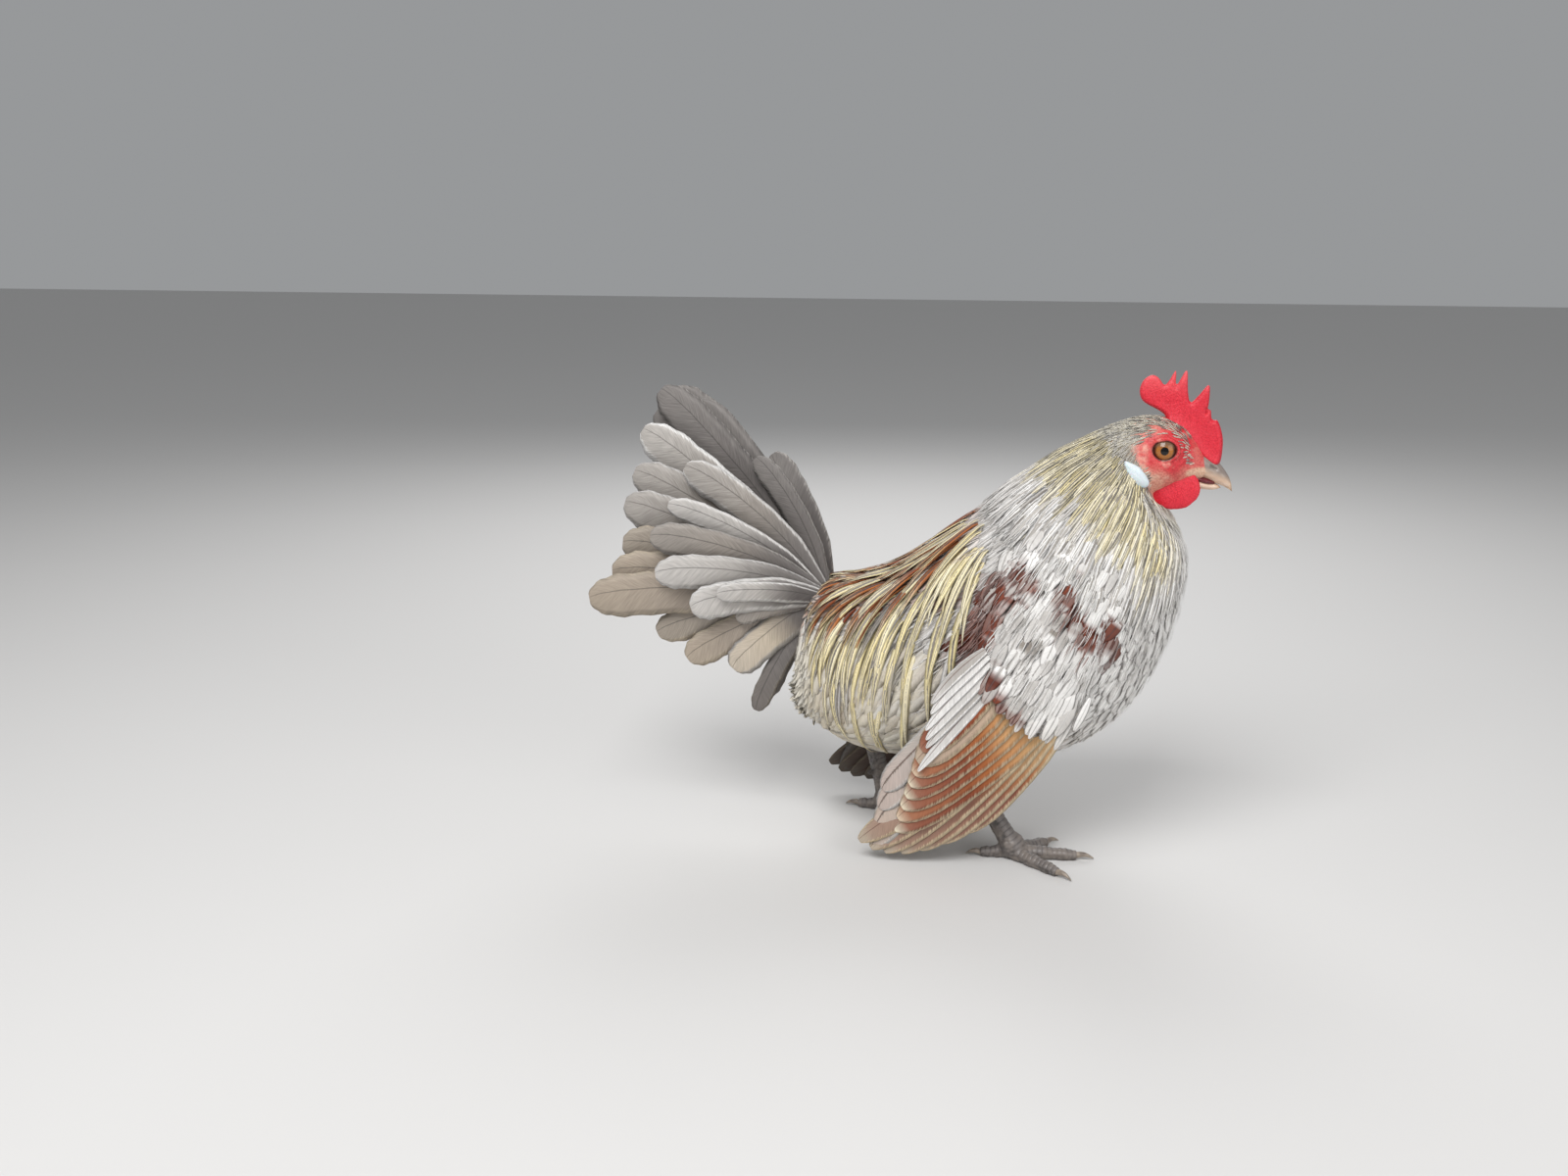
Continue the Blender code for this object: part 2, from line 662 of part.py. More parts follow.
def make_wing(side_name, grown_form):
    """The wing: primaries under secondaries under tertials, each row shingled, and two rows of coverts on top."""
    wing = wing_core("wing_" + side_name, side_name)
    feathers = []
    for i in range(PRIMARIES):
        share = i / (PRIMARIES - 1)
        tip = (116 + 58 * share - 31 * share ** 2, 25 - 34 * share)
        lift = -LAYER * (SECONDARIES + PRIMARIES - i)
        feathers.append(wing_feather(side_name, (45, 33 - 12 * share), tip, lift, PRIMARY_HALF_WIDTH, bulge=5))
    for i in range(SECONDARIES):
        tip = (129 - 5.8 * i, -1.5 - 1.5 * i)
        lift = -LAYER * (SECONDARIES - i)
        feathers.append(wing_feather(side_name, (44, 29 - 4.5 * i), tip, lift, SECONDARY_HALF_WIDTH, bulge=4))
    for i in range(TERTIALS):
        root, tip = (26 - 3 * i, -2 - 5 * i), (88 - 8 * i, -9 - 2 * i)
        feathers.append(wing_feather(side_name, root, tip, 0.7 + LAYER * i, TERTIAL_HALF_WIDTH))
    for i in range(GREATER_COVERTS):
        across, lift = 33 - 5.5 * i, 0.5 + 0.15 * i
        root, tip = (27, across - 2), (57, across)
        feathers.append(wing_feather(side_name, root, tip, lift, GREATER_COVERT_HALF_WIDTH, steps=3))
    for i in range(MEDIAN_COVERTS):
        across, lift = 24 - 8.5 * i, 0.9 + 0.15 * i
        root, tip = (14, across), (38, across + 2)
        feathers.append(wing_feather(side_name, root, tip, lift, MEDIAN_COVERT_HALF_WIDTH, steps=3))
    combine(wing, feathers, "UNION")
    return cut_away(wing, copy_of(grown_form, "cut"))


def tail_feather(side_name, angle, length, splay, curl, half_width, steps=4):
    """A tail feather that stands edge up, leans out from the middle plane and bends down towards its tip."""
    side = SIDES[side_name]
    angle, splay, curl = (math.radians(value) for value in (angle, splay, curl))
    point = at(TAIL_ROOT[0], side * (TAIL_ROOT_INNER + TAIL_ROOT_SPREAD * math.sin(splay)), TAIL_ROOT[1])
    shaft, across = [point], []
    places = stations(steps)
    for i, along in enumerate(places):
        tilt = angle + curl * (0.5 - along)
        width_way = Vector((math.sin(tilt), 0, math.cos(tilt))) + Vector((0, side * TAIL_LEAN, 0))
        across.append(width_way * -side)
        if i < steps:
            tilt = angle + curl * (0.5 - (along + places[i + 1]) / 2)
            level = Vector((-math.cos(splay), side * math.sin(splay), 0))
            heading = level * math.cos(tilt) + Vector((0, 0, math.sin(tilt)))
            shaft.append(shaft[-1] + heading * length * MM * (places[i + 1] - along))
    return vane("feather", shaft, across, rounded_widths(half_width, steps), "grey_tail")


def make_tail(grown_form, random_source):
    """The tail: a knob of flesh and tiers of feathers on both sides, fanned and splayed."""
    level = Matrix.Identity(3)
    tail = ellipsoid("tail", TAIL_KNOB_AT, TAIL_KNOB_SIZE, level, "grey_tail", rings=10, sides=16)
    feathers = []
    for side_name in SIDES:
        for tier, half_width, splays, curl in TAIL_TIERS:
            for i, (angle, length) in enumerate(tier):
                share = i / (len(tier) - 1)
                splay = splays[0] + (splays[1] - splays[0]) * share
                if side_name == "left":
                    angle += random_source.uniform(-2.5, 2.5)
                    length *= random_source.uniform(0.95, 1)
                feathers.append(tail_feather(side_name, angle, length, splay, curl, half_width))
    combine(tail, feathers, "UNION")
    return cut_away(tail, copy_of(grown_form, "cut"))


def hackle_rows(surface, rows, random_source):
    """Rows of hackles laid on a surface from the back down both sides, alternate rows staggered."""
    made = []
    for row, (place, last_turn, long, short) in enumerate(rows):
        staggered = row % 2
        for i in range(1 - HACKLES_A_SIDE, HACKLES_A_SIDE + staggered):
            share = abs(i - 0.5 * staggered) / (HACKLES_A_SIDE - 1)
            side = -1 if i < 0.5 * staggered else 1
            root = root_on_body(place, math.radians(last_turn) * share, side)
            length = (long + (short - long) * share) * random_source.uniform(0.92, 1.06)
            heading = Vector((-1, side * 0.5 * share * (1 - share), -0.6 - 2.1 * share)).normalized()
            shaft, normals = drape(surface, root, heading, length, HACKLE_LIFTS)
            made.append(lancet("hackle", shaft, normals, HACKLE_HALF_WIDTH, "straw_hackle"))
    return made


def make_neck(outer_surface, random_source):
    neck = body_form("neck", start=seam(NECK_AT, 1), end=seam(HEAD_AT, -1), grow=-COAT)
    neck.data.materials[0] = material_of("straw_hackle")
    combine(neck, hackle_rows(outer_surface, NECK_HACKLES, random_source), "UNION")
    covers = [wing_core("cut", side_name, HACKLE_CLEARANCE) for side_name in SIDES]
    return cut_away(neck, body_form("cut", end=seam(NECK_AT, 1), grow=GAP - COAT), *covers)


def make_torso(surface, random_source):
    torso = body_form("torso", end=seam(NECK_AT, -1), grow=-COAT)
    pieces = hackle_rows(surface, SADDLE_HACKLES, random_source)
    for place, turn, length in FLUFF_PLACES:
        for side in SIDES.values():
            root = root_on_body(place, math.radians(turn), side)
            _, normal, _, _ = surface.find_nearest(root)
            heading = Vector((-0.75, 0, -0.66))
            start = root - normal * FLUFF_SINK * MM
            shaft = [start + heading * length * MM * i / FLUFF_STEPS for i in range(FLUFF_STEPS + 1)]
            normals = [normal] * len(shaft)
            pieces.append(lancet("fluff", shaft, normals, FLUFF_HALF_WIDTH, "silver_plumage", FLUFF_THICKNESS))
    return combine(torso, pieces, "UNION")


def thigh(name, side_name, grow=0.0):
    top, hock = at(*THIGH_TOP[side_name]), at(*HOCK[side_name])
    path = [top.lerp(hock, i / (len(THIGH_RADII) - 1)) for i in range(len(THIGH_RADII))]
    path[-1] += (hock - top).normalized() * grow * MM
    return limb(name, path, THIGH_RADII, "silver_plumage", 14, grow)


def shank(name, side_name, grow=0.0):
    hock, foot = at(*HOCK[side_name]), at(*FOOT_AT[side_name])
    start = hock.lerp(foot, -SHANK_OVERRUN)
    path = scaled_path(start, foot, SHANK_SCUTES)
    path[-1] += (foot - hock).normalized() * grow * MM
    return limb(name, path, scute_radii(SHANK_RADII, SHANK_SCUTES), "leg_slate", SHANK_SIDES, grow)


def toe_line(side_name, heading, length, end_radius):
    hub = at(*FOOT_AT[side_name])
    turn = math.radians(heading) * SIDES[side_name]
    start = Vector((hub.x, hub.y, TOE_AXIS_Z * MM))
    way = Vector((math.cos(turn), math.sin(turn), 0))
    end = start + way * length * MM
    end.z = (end_radius - SOLE_SINK) * MM
    return start, end, way


def make_foot(side_name):
    """The foot: a ball with four scaled toes, flat underneath, and a claw ahead of each toe."""
    hub = FOOT_AT[side_name]
    level = Matrix.Identity(3)
    size = (FOOT_RADIUS, FOOT_RADIUS, FOOT_RADIUS)
    foot = ellipsoid("foot_" + side_name, hub, size, level, "leg_slate", rings=6, sides=10)
    toes = []
    for toe_name, (heading, length, root_radius, end_radius) in TOES.items():
        start, end, way = toe_line(side_name, heading, length, end_radius)
        radii = scute_radii((root_radius, (root_radius + end_radius) / 2, end_radius), TOE_SCUTES)
        toes.append(limb("toe", scaled_path(start, end, TOE_SCUTES), radii, "leg_slate", TOE_SIDES))
        long = HIND_CLAW_LENGTH if toe_name == "hind" else CLAW_LENGTH
        make_claw(f"claw_{toe_name}_{side_name}", end, way, end_radius, long)
    combine(foot, toes, "UNION")
    slice_off(foot, Vector(), Vector((0, 0, -1)))
    return cut_away(foot, shank("cut", side_name, GAP))


def make_claw(name, toe_end, way, radius, length):
    """A curved claw that rises a little from the toe's end and comes down to just above the floor."""
    rings = []
    for i in range(4):
        share = i / 4
        point = toe_end + way * (GAP + length * share) * MM
        point.z = (radius - SOLE_SINK + CLAW_RISE * math.sin(math.pi * share)) * MM
        reach = radius * CLAW_BASE_SHARE * (1 - 0.75 * share)
        across = Vector((-way.y, way.x, 0))
        rings.append([
            point + (across * math.cos(turn) + Vector((0, 0, 1)) * math.sin(turn)) * reach * MM
            for turn in (2 * math.pi * k / 7 for k in range(7))
        ])
    tip = toe_end + way * (GAP + length) * MM
    tip.z = CLAW_TIP_Z * MM
    return loft(name, rings, "claw_horn", tip=tip)


def make_leg(side_name, grown_form):
    cut_away(thigh("thigh_" + side_name, side_name), copy_of(grown_form, "cut"))
    lower = shank("shank_" + side_name, side_name)
    hock, foot = at(*HOCK[side_name]), at(*FOOT_AT[side_name])
    place = hock.lerp(foot, SPUR_DOWN_SHANK)
    inward = Vector((-0.8, -0.6 * SIDES[side_name], 0)).normalized()
    line = [place + inward * (SPUR_ROOT + i * SPUR_LENGTH / 2) * MM for i in range(3)]
    spur = limb("spur", line, (SPUR_RADIUS, SPUR_RADIUS * 0.8, SPUR_RADIUS * 0.3), "leg_slate", 7)
    combine(lower, [spur], "UNION")
    cut_away(lower, thigh("cut", side_name, GAP))
    make_foot(side_name)


def main():
    clear_scene()
    random_source = random.Random(SEED)
    flesh = body_form("flesh", grow=-COAT)
    flesh_cut = body_form("flesh_cut", grow=GAP - COAT)
    head_cut = body_form("head_cut", grow=GAP)
    make_head()
    make_beak()
    make_comb(head_cut)
    for side_name in SIDES:
        eyeball("eye_" + side_name, SIDES[side_name])
        make_wattle(side_name, head_cut)
        make_earlobe(side_name, head_cut)
        make_wing(side_name, flesh_cut)
        make_leg(side_name, flesh_cut)
    make_tail(flesh_cut, random_source)
    cores = [wing_core("cover", side_name, HACKLE_CLEARANCE) for side_name in SIDES]
    outer = surface_of([flesh, *cores])
    make_neck(outer, random_source)
    make_torso(surface_of([flesh]), random_source)
    for helper in (flesh, flesh_cut, head_cut, *cores):
        bpy.data.objects.remove(helper)
    for obj in bpy.data.objects:
        obj.data.transform(Matrix.Translation(at(-BOX_MIDDLE_X, 0, 0)))
        obj.data.shade_smooth()
        obj.data.set_sharp_from_angle(angle=math.radians(50))


main()
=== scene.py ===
"""Looks of the dutch bantam cockerel: skin, plumage, comb, beak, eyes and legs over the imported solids.

Sizes are millimetres, as in the part's own source, and at() turns them into metres. Pieces are made in the
source's measuring frame and moved once, in settle(), so that the bird's box stands centred over the origin.
"""

import json
import math
import random

import bmesh
import bpy
import numpy as np
from mathutils import Matrix, Vector, noise
from mathutils.bvhtree import BVHTree
from mathutils.kdtree import KDTree

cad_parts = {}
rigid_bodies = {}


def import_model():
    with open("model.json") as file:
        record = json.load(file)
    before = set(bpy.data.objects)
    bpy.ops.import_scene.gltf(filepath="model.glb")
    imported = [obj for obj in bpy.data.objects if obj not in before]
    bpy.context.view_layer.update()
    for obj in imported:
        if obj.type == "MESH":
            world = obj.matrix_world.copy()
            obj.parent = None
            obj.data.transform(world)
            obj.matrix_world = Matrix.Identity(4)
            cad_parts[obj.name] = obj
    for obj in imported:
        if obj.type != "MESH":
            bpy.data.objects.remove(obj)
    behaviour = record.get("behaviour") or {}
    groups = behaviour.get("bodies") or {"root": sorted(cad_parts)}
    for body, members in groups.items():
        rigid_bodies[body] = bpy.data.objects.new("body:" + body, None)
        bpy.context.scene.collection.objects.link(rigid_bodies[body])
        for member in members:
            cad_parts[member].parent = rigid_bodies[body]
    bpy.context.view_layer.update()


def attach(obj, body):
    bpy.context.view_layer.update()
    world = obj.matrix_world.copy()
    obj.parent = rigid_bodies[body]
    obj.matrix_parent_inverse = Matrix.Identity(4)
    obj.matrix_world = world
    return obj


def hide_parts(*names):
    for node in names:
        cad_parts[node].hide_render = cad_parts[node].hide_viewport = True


for startup_object in list(bpy.data.objects):
    bpy.data.objects.remove(startup_object)
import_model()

MM = 0.001
BOX_MIDDLE_X = 3.07
SIDES = {"left": 1, "right": -1}
SEED = 11
PATCH = 0.0015

# The photograph's viewpoint, found from the feet, the head and the tail.
CAMERA_AT = (81.78, -614.2, 265.27)
CAMERA_AZIMUTH = math.radians(12)
CAMERA_ELEVATION = math.radians(14.2)
CAMERA_LENS = 34.3125
CAMERA_SENSOR = 36

# Upright ovals from the vent to the beak: x and z of the top and of the bottom, and half the width. A place
# on the body is counted in sections from the vent.
BODY_SECTIONS = (
    ((-35, 104), (-40, 73), 9),
    ((-27, 112), (-35, 56), 18),
    ((-15, 114), (-24, 43), 27),
    ((-1, 118.5), (-3, 37.5), 33.5),
    ((12, 126.5), (21, 37), 37.5),
    ((24, 136), (47, 37.5), 40),
    ((35, 146), (74, 44), 41),
    ((46, 155.5), (95.5, 60), 40),
    ((55, 162.3), (109, 82), 37),
    ((63, 168), (116.5, 105), 31.5),
    ((70, 173), (118.5, 127), 25.5),
    ((78, 177.8), (111, 144), 19),
    ((88, 182), (105, 152.5), 15.5),
    ((98, 185), (108, 154.5), 13.8),
    ((106, 185), (111.5, 156.5), 12.6),
    ((113, 182.5), (115, 158), 11),
    ((118.5, 177.5), (118.5, 159), 8.3),
    ((122.5, 171.5), (121, 160), 6),
    ((124.5, 168.5), (123, 161), 4.6),
)
VENT_AT = (-45, 0, 84)
NECK_AT = 8
HEAD_AT = 11.0
BODY_STEP = 0.25
NECK_STEP = 0.16
HEAD_STEP = 0.085
HEAD_FEATHERS_FROM = 10.9
BARE_SKIN_FROM = 12.0
HACKLES_FROM = 9.2
THROAT_TURN = 1.8
THROAT_TO = 11.4
COAT = 1.2
SKIN_SIDES = 96

EYE_AT = (107, 8.4, 173.3)
EYE_RADIUS = 5.5
EYE_OPENING = (4.35, 3.6)
EARLOBE_AT = (96.6, 15.7, 164.4)
EARLOBE_SIZE = (6.8, 1.9, 3.4)
EARLOBE_TILT = math.radians(45)
WATTLE_AT = (112, 6.9, 157.6)
WATTLE_SIZE = (9.8, 1.7, 8.4)
WATTLE_SPLAY = math.radians(9)

# The comb seen from the side, from the beak up over its points and back.
COMB_OUTLINE = (
    (126, 166), (129, 167), (129.8, 172), (129.5, 178), (127.3, 184), (125, 184.5), (124.2, 188.4),
    (122.6, 187), (123.4, 191), (123, 198.2), (119, 193.6), (116.2, 191.2), (115, 196), (114.2, 203.8),
    (111.6, 199.5), (110.2, 197), (110, 203.5), (107.6, 199.6), (105.8, 197.8), (103.4, 200.6),
    (100.8, 201.6), (97.8, 199.6), (96.4, 195.8), (97.3, 192), (100, 189.8), (104, 187.8), (107, 185.4),
    (107.5, 181), (114, 178), (121, 170),
)
COMB_BASE_Z = 178
COMB_TOP_Z = 204
COMB_BASE_THICKNESS = 4.6
COMB_TIP_THICKNESS = 1.7

# Sections of the beak, given as the body's are.
UPPER_BEAK = (
    ((121.5, 172), (119.5, 162.3), 5.4),
    ((125.8, 169.6), (123, 160.9), 4.7),
    ((129.6, 166.6), (126.6, 159.6), 3.8),
    ((132.6, 162.6), (130.2, 158.3), 2.6),
    ((134.1, 159.2), (132.9, 157.1), 1.1),
)
UPPER_BEAK_TIP = (134.7, 155.9)
LOWER_BEAK = (
    ((118.6, 162), (118.6, 157), 4.6),
    ((123, 160.5), (123, 156.5), 3.7),
    ((126.8, 159.4), (126.8, 156.4), 2.5),
    ((129, 158.5), (129, 156.8), 1.4),
)
LOWER_BEAK_TIP = (130.2, 157.4)
NOSTRIL_AT = (126.6, 165.8)
MOUTH_AT = (122.5, 0, 160.6)
MOUTH_SIZE = (5.6, 4.2, 1.6)

THIGH_TOP = {"right": (48, -19, 72), "left": (14, 16, 70)}
HOCK = {"right": (33, -21, 39), "left": (-13, 19, 39)}
FOOT_AT = {"right": (54, -22, 5.4), "left": (-5, 18, 5.4)}
THIGH_RADII = (14, 14, 12.5, 9.2, 6.4)
THIGH_RINGS = 13
SHANK_RADII = (5, 4.1, 3.7, 3.7, 4.3)
FOOT_RADIUS = 5.6
SPUR_LENGTH = 4.5
SPUR_RADIUS = 1.7
SPUR_DOWN_SHANK = 0.62
# Each toe's turn from straight ahead in degrees, its length, and its radius at the ball and at the claw.
TOES = {
    "inner": (-46, 20, 3.2, 2.1),
    "middle": (-6, 27, 3.5, 2.2),
    "outer": (38, 25, 3.3, 2.1),
    "hind": (174, 13, 2.9, 2.0),
}
TOE_AXIS_Z = 2.7
SOLE_SINK = 0.45
CLAW_LENGTH = 8.5
HIND_CLAW_LENGTH = 7
CLAW_BASE_SHARE = 0.62
CLAW_TIP_Z = 0.6

WING_SHOULDER = {"right": (70, 128), "left": (60, 121)}
WING_FALL = {"right": math.radians(-119.7), "left": math.radians(-127.7)}
WING_SPAN = 47
WING_BROADEST_AT = (55, 8)
WING_ROUND_TO_SHOULDER = 11 / 63 ** 2
WING_ROUND_TO_TIP = 2.5 / 86 ** 2
WING_ROUND_ACROSS = 6.5 / 32 ** 2
# Sections of the wing's arm: how far along the wing, the middle across it and half the breadth.
WING_CORE = (
    (-6, 4, 11), (2, 5, 19), (12, 4, 24.5), (24, 4.5, 26), (36, 8.5, 25), (46, 13, 22), (54, 17, 16),
)
WING_CORE_ENDS = (-12, 58)
WING_CORE_DEPTH = 7
WING_CORE_HALF_DEPTH = 6.2
WING_PAD_RINGS = 25
WING_PAD_SIDES = 40
SHINGLE = math.tan(math.radians(7))

TAIL_ROOT = (-30, 104)
TAIL_ROOT_INNER = 1.2
TAIL_ROOT_SPREAD = 12
TAIL_LEAN = 0.16
# Tiers of tail feathers: the angle, length, web tone, edge tone and share of edge of each feather, then the
# tier's half width, its first and last splay, and its curl.
TAIL_TIERS = (
    (((51, 113, "slate", "pearl", 0.12), (42, 106, "warm_grey", "white", 0.3),
      (33, 98, "warm_grey", "silver", 0.2), (25, 95, "warm_grey", "silver", 0.2),
      (15, 90, "warm_grey", "beige", 0.2), (7, 92, "dun", "beige", 0.25), (0, 101, "dun", "beige", 0.2)),
     10, (3, 13), 6),
    (((64, 68, "slate", "pearl", 0.2), (44, 83, "warm_grey", "silver", 0.3),
      (32, 79, "pearl", "silver", 0.35), (21, 80, "warm_grey", "pearl", 0.2),
      (10, 74, "pearl", "silver", 0.2), (-2, 58, "pearl", "silver", 0.3)),
     7.8, (11, 20), 22),
    (((-13, 75, "warm_grey", "beige", 0.3), (-25, 66, "dun", "beige", 0.3), (-39, 51, "beige", "pearl", 0.3)),
     7.6, (9, 12), 8),
    (((6, 47, "pearl", "silver", 0.3), (-12, 39, "warm_grey", "pearl", 0.2),
      (-60, 60, "slate", "warm_grey", 0.3)),
     4.6, (25, 9), 12),
)

# Tones of the plumage and the bare parts, as screen values from 0 to 255.
TONES = {
    "white": (238, 236, 233),
    "silver": (214, 211, 208),
    "pearl": (174, 169, 164),
    "warm_grey": (138, 130, 122),
    "slate": (92, 87, 85),
    "charcoal": (48, 44, 43),
    "cream": (242, 233, 206),
    "straw": (238, 221, 164),
    "beige": (190, 176, 156),
    "dun": (150, 137, 124),
    "orange": (186, 114, 62),
    "tan": (212, 172, 122),
    "rust": (132, 60, 32),
    "umber": (84, 40, 30),
    "skin": (214, 140, 126),
    "pale_skin": (226, 178, 152),
    "face_red": (206, 52, 60),
    "horn": (222, 186, 158),
}
# Linear colours of the bare parts.
PAINTS = {
    "comb_groove": (0.52, 0.006, 0.02),
    "comb_red": (0.72, 0.022, 0.045),
    # comb_tip_and_highlight is paler pink: partly the points' own colour, partly a painted highlight.
    "comb_tip_and_highlight": (0.86, 0.16, 0.17),
    "comb_shade": (0.55, 0.012, 0.03),
    "lobe_groove": (0.60, 0.68, 0.72),
    "lobe_white": (0.74, 0.82, 0.85),
    "mouth_groove": (0.10, 0.01, 0.015),
    "mouth_red": (0.30, 0.03, 0.04),
    "face_groove": (0.78, 0.62, 0.62),
    "beak_horn": (0.62, 0.42, 0.28),
    "beak_pale": (0.70, 0.52, 0.40),
    "beak_ridge": (0.17, 0.15, 0.145),
    "leg_groove": (0.055, 0.048, 0.045),
    "leg_slate": (0.17, 0.15, 0.14),
    "leg_dust": (0.24, 0.20, 0.17),
    "claw_dark": (0.16, 0.13, 0.11),
    "claw_horn": (0.34, 0.28, 0.22),
    "iris_brown": (0.22, 0.07, 0.015),
    "iris_amber": (0.50, 0.20, 0.04),
    "iris_rim": (0.05, 0.015, 0.008),
    "iris_shade": (0.16, 0.09, 0.05),
    "pupil": (0.002, 0.002, 0.002),
}

# The line of bristles beside the comb, from the crown down to the beak and back.
BRISTLE_LINE = ((104, 185), (112, 180.5), (116, 175), (118, 168.5), (116, 175), (112, 180.5))

# Rust blotches over the shoulder and breast, and grey ones, as the place seen from the side and its radius.
RUST_BLOTCHES = (
    (44, 118.5, 5.5), (41, 108, 5), (38, 99, 5.5), (39.5, 85, 6), (55, 124, 4.5), (73.6, 119.5, 5),
    (77, 111, 3.5), (81, 102, 4), (90, 104.6, 4), (49, 73, 4), (53.5, 71, 3.5), (30, 118.7, 4.5),
)
GREY_BLOTCHES = ((70, 108, 3.5), (60, 100, 3))


def at(x, y, z):
    """A point given in millimetres, as Blender's metres."""
    return Vector((x, y, z)) * MM


def tone(name):
    """A named tone as linear red, green and blue."""
    return np.array([(c / 255) ** 2.2 for c in TONES[name]])


def mix(a, b, share):
    return a + (b - a) * share


def blend(under, over, share):
    """One colour over another by a share. A colour is a tone's name, one row, or a row for each point."""
    under, over = (tone(colour) if isinstance(colour, str) else colour for colour in (under, over))
    return mix(under, over, np.asarray(share)[..., None])


def linked(name, data):
    """A new object in the scene."""
    obj = bpy.data.objects.new(name, data)
    bpy.context.scene.collection.objects.link(obj)
    return obj


def unit(vectors):
    return vectors / np.maximum(np.linalg.norm(vectors, axis=-1, keepdims=True), 1e-9)


def smooth(low, high, value):
    """0 below low, 1 above high, and an even ramp between."""
    share = np.clip((value - low) / (high - low), 0, 1)
    return share * share * (3 - 2 * share)


def mesh_object(name, points, faces):
    """An object over points given in millimetres."""
    mesh = bpy.data.meshes.new(name)
    mesh.from_pydata((np.asarray(points, float) * MM).tolist(), [], faces)
    mesh.shade_smooth()
    return linked(name, mesh)


def vertex_rows(obj, label):
    rows = np.zeros(len(obj.data.vertices) * 3)
    obj.data.vertices.foreach_get(label, rows)
    return rows.reshape(-1, 3)


def point_array(obj):
    """The object's points in millimetres."""
    return vertex_rows(obj, "co") / MM


# The kind of a stored value and its field, by the numbers in a row.
STORED_KINDS = {1: ("FLOAT", "value"), 3: ("FLOAT_VECTOR", "vector"), 4: ("FLOAT_COLOR", "color")}


def set_points(obj, points):
    obj.data.vertices.foreach_set("co", (np.asarray(points) * MM).ravel())
    obj.data.update()


def store(mesh, name, values):
    """A named value on each point of a mesh: a number, a row of three, or a colour with its alpha."""
    rows = np.asarray(values, np.float32).reshape(len(values), -1)
    kind, field = STORED_KINDS[rows.shape[1]]
    mesh.attributes.new(name, kind, "POINT").data.foreach_set(field, rows.ravel())


def stored(mesh, name, width):
    """A named value as one row for each point."""
    rows = np.zeros(len(mesh.vertices) * width, np.float32)
    mesh.attributes[name].data.foreach_get(STORED_KINDS[width][1], rows)
    return rows.reshape(-1, width)


def store_colour(mesh, name, colours):
    store(mesh, name, np.concatenate([colours, np.ones((len(colours), 1))], 1))


def evaluated_mesh(obj):
    """The mesh that an object's modifiers make. The object loses them."""
    graph = bpy.context.evaluated_depsgraph_get()
    mesh = bpy.data.meshes.new_from_object(
        obj.evaluated_get(graph), preserve_all_data_layers=True, depsgraph=graph)
    obj.modifiers.clear()
    mesh.shade_smooth()
    return mesh


def face_out(obj):
    """Turns every face of a closed mesh outwards."""
    bm = bmesh.new()
    bm.from_mesh(obj.data)
    bmesh.ops.recalc_face_normals(bm, faces=bm.faces)
    bm.to_mesh(obj.data)
    bm.free()
    return obj


def applied(obj):
    """The object with its modifiers' result as its mesh."""
    obj.data = evaluated_mesh(obj)
    return obj


def smooth_between(a, b, c, d, t):
    """Points on a smooth curve from b to c, which comes from a and goes on to d."""
    return 0.5 * (2 * b + (c - a) * t + (2 * a - 5 * b + 4 * c - d) * t ** 2
                  + (3 * b - a - 3 * c + d) * t ** 3)


def joined(obj, others):
    """One closed form of several, by a Boolean union."""
    group = bpy.data.collections.new(obj.name + "_parts")
    for other in others:
        group.objects.link(other)
    joining = obj.modifiers.new("join", "BOOLEAN")
    joining.operation = "UNION"
    joining.solver = "MANIFOLD"
    joining.operand_type = "COLLECTION"
    joining.collection = group
    applied(obj)
    for other in others:
        bpy.data.objects.remove(other)
    bpy.data.collections.remove(group)
    return obj


def remeshed(obj, voxel, smoothing):
    """The object as one even closed surface."""
    even = obj.modifiers.new("even", "REMESH")
    even.mode = "VOXEL"
    even.voxel_size = voxel * MM
    soften = obj.modifiers.new("soften", "SMOOTH")
    soften.factor = 0.5
    soften.iterations = smoothing
    return applied(obj)


def settle(obj, slot_name, *nodes, material=None):
    obj.data.transform(Matrix.Translation(at(-BOX_MIDDLE_X, 0, 0)))
    if material:
        obj.data.materials.clear()
        obj.data.materials.append(material)
    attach(obj, "root")
    if nodes:
        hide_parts(*nodes)
    return obj


# Forms shared by several pieces.


def curve_rows(sections, places):
    """Rows of numbers at places along control rows, on a smooth curve through them all."""
    rows = np.array([[*top, *bottom, half] for top, bottom, half in sections], float)
    low = np.minimum(places.astype(int), len(rows) - 2)
    near = (rows[np.clip(low + k, 0, len(rows) - 1)] for k in (-1, 0, 1, 2))
    return smooth_between(*near, (places - low)[:, None])


def ring_faces(count, sides, closed=False):
    """Four-sided faces between neighbouring rings of points, and from the last to the first if closed."""
    faces = []
    for i in range(count if closed else count - 1):
        first, ahead = i * sides, (i + 1) % count * sides
        for k in range(sides):
            after = (k + 1) % sides
            faces.append((first + k, first + after, ahead + after, ahead + k))
    return faces


def oval_points(rows, turns, grow=0.0):
    """Points of upright ovals, one row of numbers each, at turns from the top round the left side."""
    top = np.stack([rows[:, 0], 0 * rows[:, 0], rows[:, 1]], 1)
    bottom = np.stack([rows[:, 2], 0 * rows[:, 2], rows[:, 3]], 1)
    centre, up = (top + bottom) / 2, (top - bottom) / 2
    up = up + unit(up) * grow
    across = np.stack([0 * rows[:, 4], rows[:, 4] + grow, 0 * rows[:, 4]], 1)
    cos, sin = np.cos(turns)[None, :, None], np.sin(turns)[None, :, None]
    return centre[:, None] + up[:, None] * cos + across[:, None] * sin


